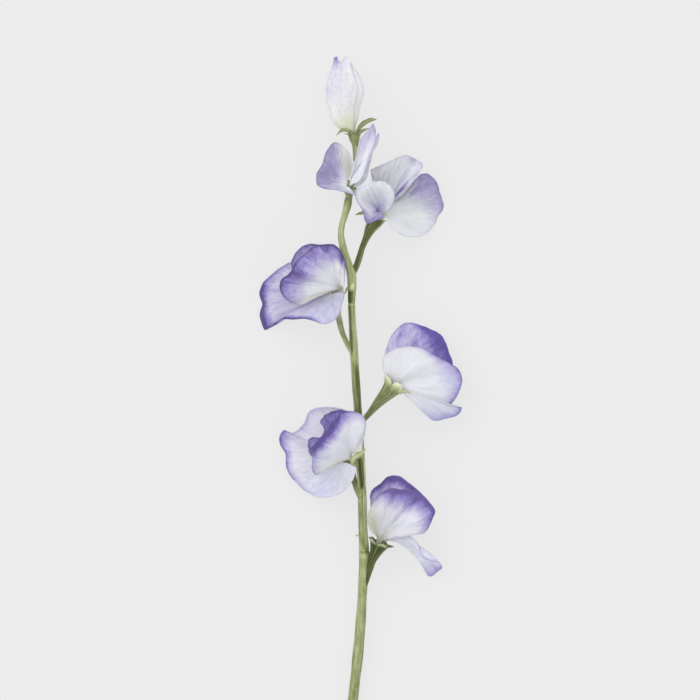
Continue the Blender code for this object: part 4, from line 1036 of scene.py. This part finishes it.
def main_stem(material):
    """The main stem from its cut end to the bud, with low ribs along it."""
    path = curve(STEM, np.linspace(0, 1, STEM_ROWS))
    random = np.random.default_rng(5)
    y = path[:, 1]
    uneven = sum(STEM_SWELL * np.sin(y / size + random.uniform(0, 6))
                 for size in SWELL_LENGTHS)
    radii = path[:, 3] * (1 + uneven - bumps(y, STEM_NICKS))
    angle = 2 * math.pi * np.arange(STEM_SIDES) / STEM_SIDES
    ribs = 1 + STEM_RIBS * (np.cos(4 * angle + 0.6) + 0.5 * np.cos(7 * angle + 2.0))
    ways = ways_of(path)
    right = right_of(ways[0])
    rows = []
    for middle, way, radius in zip(path, ways, radii):
        right = unit(right - np.dot(right, way) * way)
        turn = around(right, np.cross(way, right), angle)
        rows.append(middle[:3] + turn * (radius * ribs)[:, None])
    grid = np.array(rows).transpose(1, 0, 2)
    grid[:, 0, 1] = STEM[0][1]
    across = np.cos(angle)[:, None]
    shade = bumps(y, STEM_DARK)
    pale = bumps(y, STEM_PALE)
    for first, last, soft, centre, half, dark in STEM_TONES:
        stretch = smooth((y - first) / soft) * smooth((last - y) / soft)
        band = stretch * bump_at(across, centre, half)
        shade = shade + max(dark, 0) * band
        pale = pale + max(-dark, 0) * band
    fields = {"place": tube_places(angle, lengths(path), STEM_PATTERN, 1.0),
              "shade": np.clip(shade, 0, 1), "pale": np.clip(pale, 0, 1)}
    return closed_tube("main_stem", grid, fields, material)


def calyx_teeth(bloom, base, share, axis, outward):
    """Rows of points up the teeth from the ring at the mouth, and how far up its tooth
    each point of the ring goes, from 0 between two teeth to 1 at a tip."""
    data = CALYX[bloom]
    random = np.random.default_rng(seed_of(bloom))
    which = np.arange(STALK_SIDES) * TEETH // STALK_SIDES
    pointed = 1 - np.abs(2 * ((share * TEETH) % 1.0) - 1) ** data["blunt"]
    length, flare = np.array(data["teeth"], float)[which].T
    length = length * (data["valley"] + (1 - data["valley"]) * pointed)
    length = length + data["ragged"] * wander(random, 31, share) * (1 - share**20)
    soft = np.array((0.1, 0.2, 0.4, 0.2, 0.1))
    flare = np.convolve(np.pad(flare, 2, mode="wrap"), soft, mode="valid")
    bend = base + around(axis, outward, flare * 0.6) * (length * 0.5)[:, None]
    tips = bend + around(axis, outward, flare) * (length * 0.5)[:, None]
    rows = [(1 - t) ** 2 * base + 2 * t * (1 - t) * bend + t**2 * tips
            for t in np.linspace(0, 1, TOOTH_ROWS + 1)[1:]]
    return rows, pointed


def stalk(bloom, material):
    """A stalk that swells into a green calyx with five teeth round its mouth."""
    data = CALYX[bloom]
    dark, inside, yellow, slit_shade, tip, veil = CALYX_LOOK[bloom]
    axis, right, up, mouth = mouth_frame(bloom)
    radius = data["radius"]
    body, low = data["body"]
    middles = (*data["stalk"], (*(mouth - axis * low), body), (*mouth, radius))
    path = curve(middles, np.linspace(0, 1, STALK_ROWS))
    near = smooth((np.linspace(0, 1, STALK_ROWS) - 0.6) / 0.35)[:, None]
    ways = unit(ways_of(path) * (1 - near) + axis * near)
    share = np.arange(STALK_SIDES) / STALK_SIDES
    angle = data["turn"] + 2 * math.pi * share
    ribs = 1 + STALK_RIBS * np.cos(TEETH * (angle - data["turn"]) + math.pi)
    outer = []
    for row, way in zip(path, ways):
        across = right_of(way)
        turn = around(across, np.cross(way, across), angle)
        outer.append(row[:3] + turn * (row[3] * ribs)[:, None])
    outward = around(right, up, angle)
    teeth, pointed = calyx_teeth(bloom, outer[-1], share, axis, outward)
    outer += teeth
    inner = []
    inward = axis * 0.25 - outward * 0.7
    for k, row in enumerate(outer[::-1][:TOOTH_ROWS + 2]):
        inner.append(row + inward * (TIP_THICK + MOUTH_THICK * smooth(k / TOOTH_ROWS)))
    for rise, wide in CUP_ROWS:
        inner.append(mouth + axis * rise + outward * radius * wide)
    grid = np.array(outer + inner).transpose(1, 0, 2)
    steps = np.linalg.norm(np.diff(grid.mean(axis=0), axis=0), axis=1)
    along = np.concatenate([[0], np.cumsum(np.minimum(steps, 1.0))])
    s = np.arange(len(along))[None, :]
    into = smooth((s - STALK_ROWS - TOOTH_ROWS) / 6.0)
    along_tooth = smooth((s - STALK_ROWS + 4) / (TOOTH_ROWS + 2.0)) * (1 - into)
    # The side of the stalk towards the lamp is painted lighter.
    painted_lit_side = np.clip(np.cos(angle + 0.35), 0, 1)[:, None] ** 6
    shade = dark * smooth(s / 12.0) * (1 - 0.8 * along_tooth) * (1 - into)
    # The hollow inside the calyx is painted dark as shade.
    shade = shade * (1 - 0.6 * painted_lit_side) + inside * into
    pale = yellow * along_tooth + (1 - inside) * 0.8 * into
    pale = pale + tip * along_tooth**3
    pale = pale + veil * smooth((s - 0.45 * STALK_ROWS) / 25.0)
    # The slits between the teeth are painted dark as shade.
    edge = (1 - pointed[:, None]) ** 2 * along_tooth
    seed = 11.0 + seed_of(bloom) % 13
    fields = {"place": tube_places(angle, along, STALK_PATTERN, seed),
              "shade": np.clip(shade + slit_shade * edge, 0, 1),
              "pale": pale * (1 - 0.8 * min(slit_shade, 1.0) * edge)}
    return closed_tube("stalk_" + bloom, grid, fields, material)


def blade(name, material):
    """A small pointed green leaf along a line, folded a little down its middle."""
    points, face, (dark, yellow) = BLADES[name]
    places = np.linspace(0, 1, BLADE_ROWS)
    path = curve(points, places)
    ways = ways_of(path)
    side = unit(np.cross(ways, unit(face)))
    facing = np.cross(side, ways)
    random = np.random.default_rng(seed_of(name))
    across = np.linspace(-1, 1, BLADE_SIDES)
    s = across[None, :, None]
    wide = path[:, 3][:, None] * (1 + 0.12 * wander(random, 9, places)[:, None])
    grid = path[:, None, :3] + side[:, None, :] * s * wide[:, :, None]
    grid = grid - facing[:, None, :] * (0.45 * np.abs(s) ** 1.5) * wide[:, :, None]
    along, across = np.meshgrid(places, across, indexing="ij")
    seed = np.full_like(along, 20.0 + seed_of(name) % 17)
    shade = dark + 0.5 * smooth((0.25 - along) / 0.25) + 0.25 * np.abs(across) ** 4
    fields = {"place": np.stack([(across + 1) * wide, along * BLADE_PATTERN, seed],
                                axis=2),
              "shade": np.clip(shade, 0, 1),
              "pale": np.clip(yellow + 0.25 * bump_at(across, 0, 0.18), 0, 1)}
    return closed_sheet(name, grid, 0.18 + 0.30 * (1 - np.abs(across)), fields, material)


def make_flower():
    green = green_material()
    pieces = [main_stem(green)] + [stalk(bloom, green) for bloom in CALYX]
    pieces += [blade(name, green) for name in BLADES]
    for piece in pieces:
        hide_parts("stem")
    materials = {bloom: petal_material(bloom + "_petal", *(linear(*tone) for tone in tones))
                 for bloom, tones in PALETTE.items()}
    for table, maker in ((PETALS, petal_grid), (BUD, bud_grid), (KEELS, keel_grid)):
        for name in table:
            piece = petal(name, *maker(name), materials[bloom_of(name)])
            piece.name = name + "_petal"
            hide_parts(name)
            pieces.append(piece)
    for piece in pieces:
        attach(piece, "root")


def make_stage():
    """A pale table, even light from all sides with a soft lamp, and the camera above."""
    table_mesh = bpy.data.meshes.new("table_top")
    corners = [(x * TABLE_HALF, y * TABLE_HALF, 0)
               for x, y in ((-1, -1), (1, -1), (1, 1), (-1, 1))]
    table_mesh.from_pydata(corners, [], [(0, 1, 2, 3)])
    n = Nodes("table_surface")
    n.fill(n.shader, {
        "Base Color": TABLE_TONE, "Roughness": 0.9, "Specular IOR Level": 0.1,
        "Emission Color": (1.0, 1.0, 1.0, 1.0), "Emission Strength": TABLE_GLOW})
    table_mesh.materials.append(n.material)
    floor = new_thing("table_top", table_mesh)

    world = bpy.data.worlds.new("studio")
    bpy.context.scene.world = world
    world.use_nodes = True
    background = world.node_tree.nodes["Background"]
    background.inputs["Color"].default_value = SKY_TONE
    background.inputs["Strength"].default_value = 1.0
    lamp = bpy.data.lights.new("softbox", "SUN")
    lamp.angle = math.radians(LAMP_SPREAD)
    lamp.energy = LAMP_STRENGTH
    lamp.color = LAMP_TONE
    tilt = math.radians(LAMP_TILT)
    new_thing("softbox", lamp).rotation_euler = (tilt, tilt, 0)

    camera = bpy.data.cameras.new("camera")
    camera.type = "PERSP"
    camera.lens = LENS
    camera.sensor_width = FILM
    camera.clip_end = 20
    eye = new_thing("camera", camera)
    eye.location = CAMERA_OVER + SHIFT * MM + np.array((0, 0, CAMERA_HEIGHT))
    bpy.context.scene.camera = eye
    bpy.context.scene.view_settings.view_transform = "Standard"


make_flower()
make_stage()
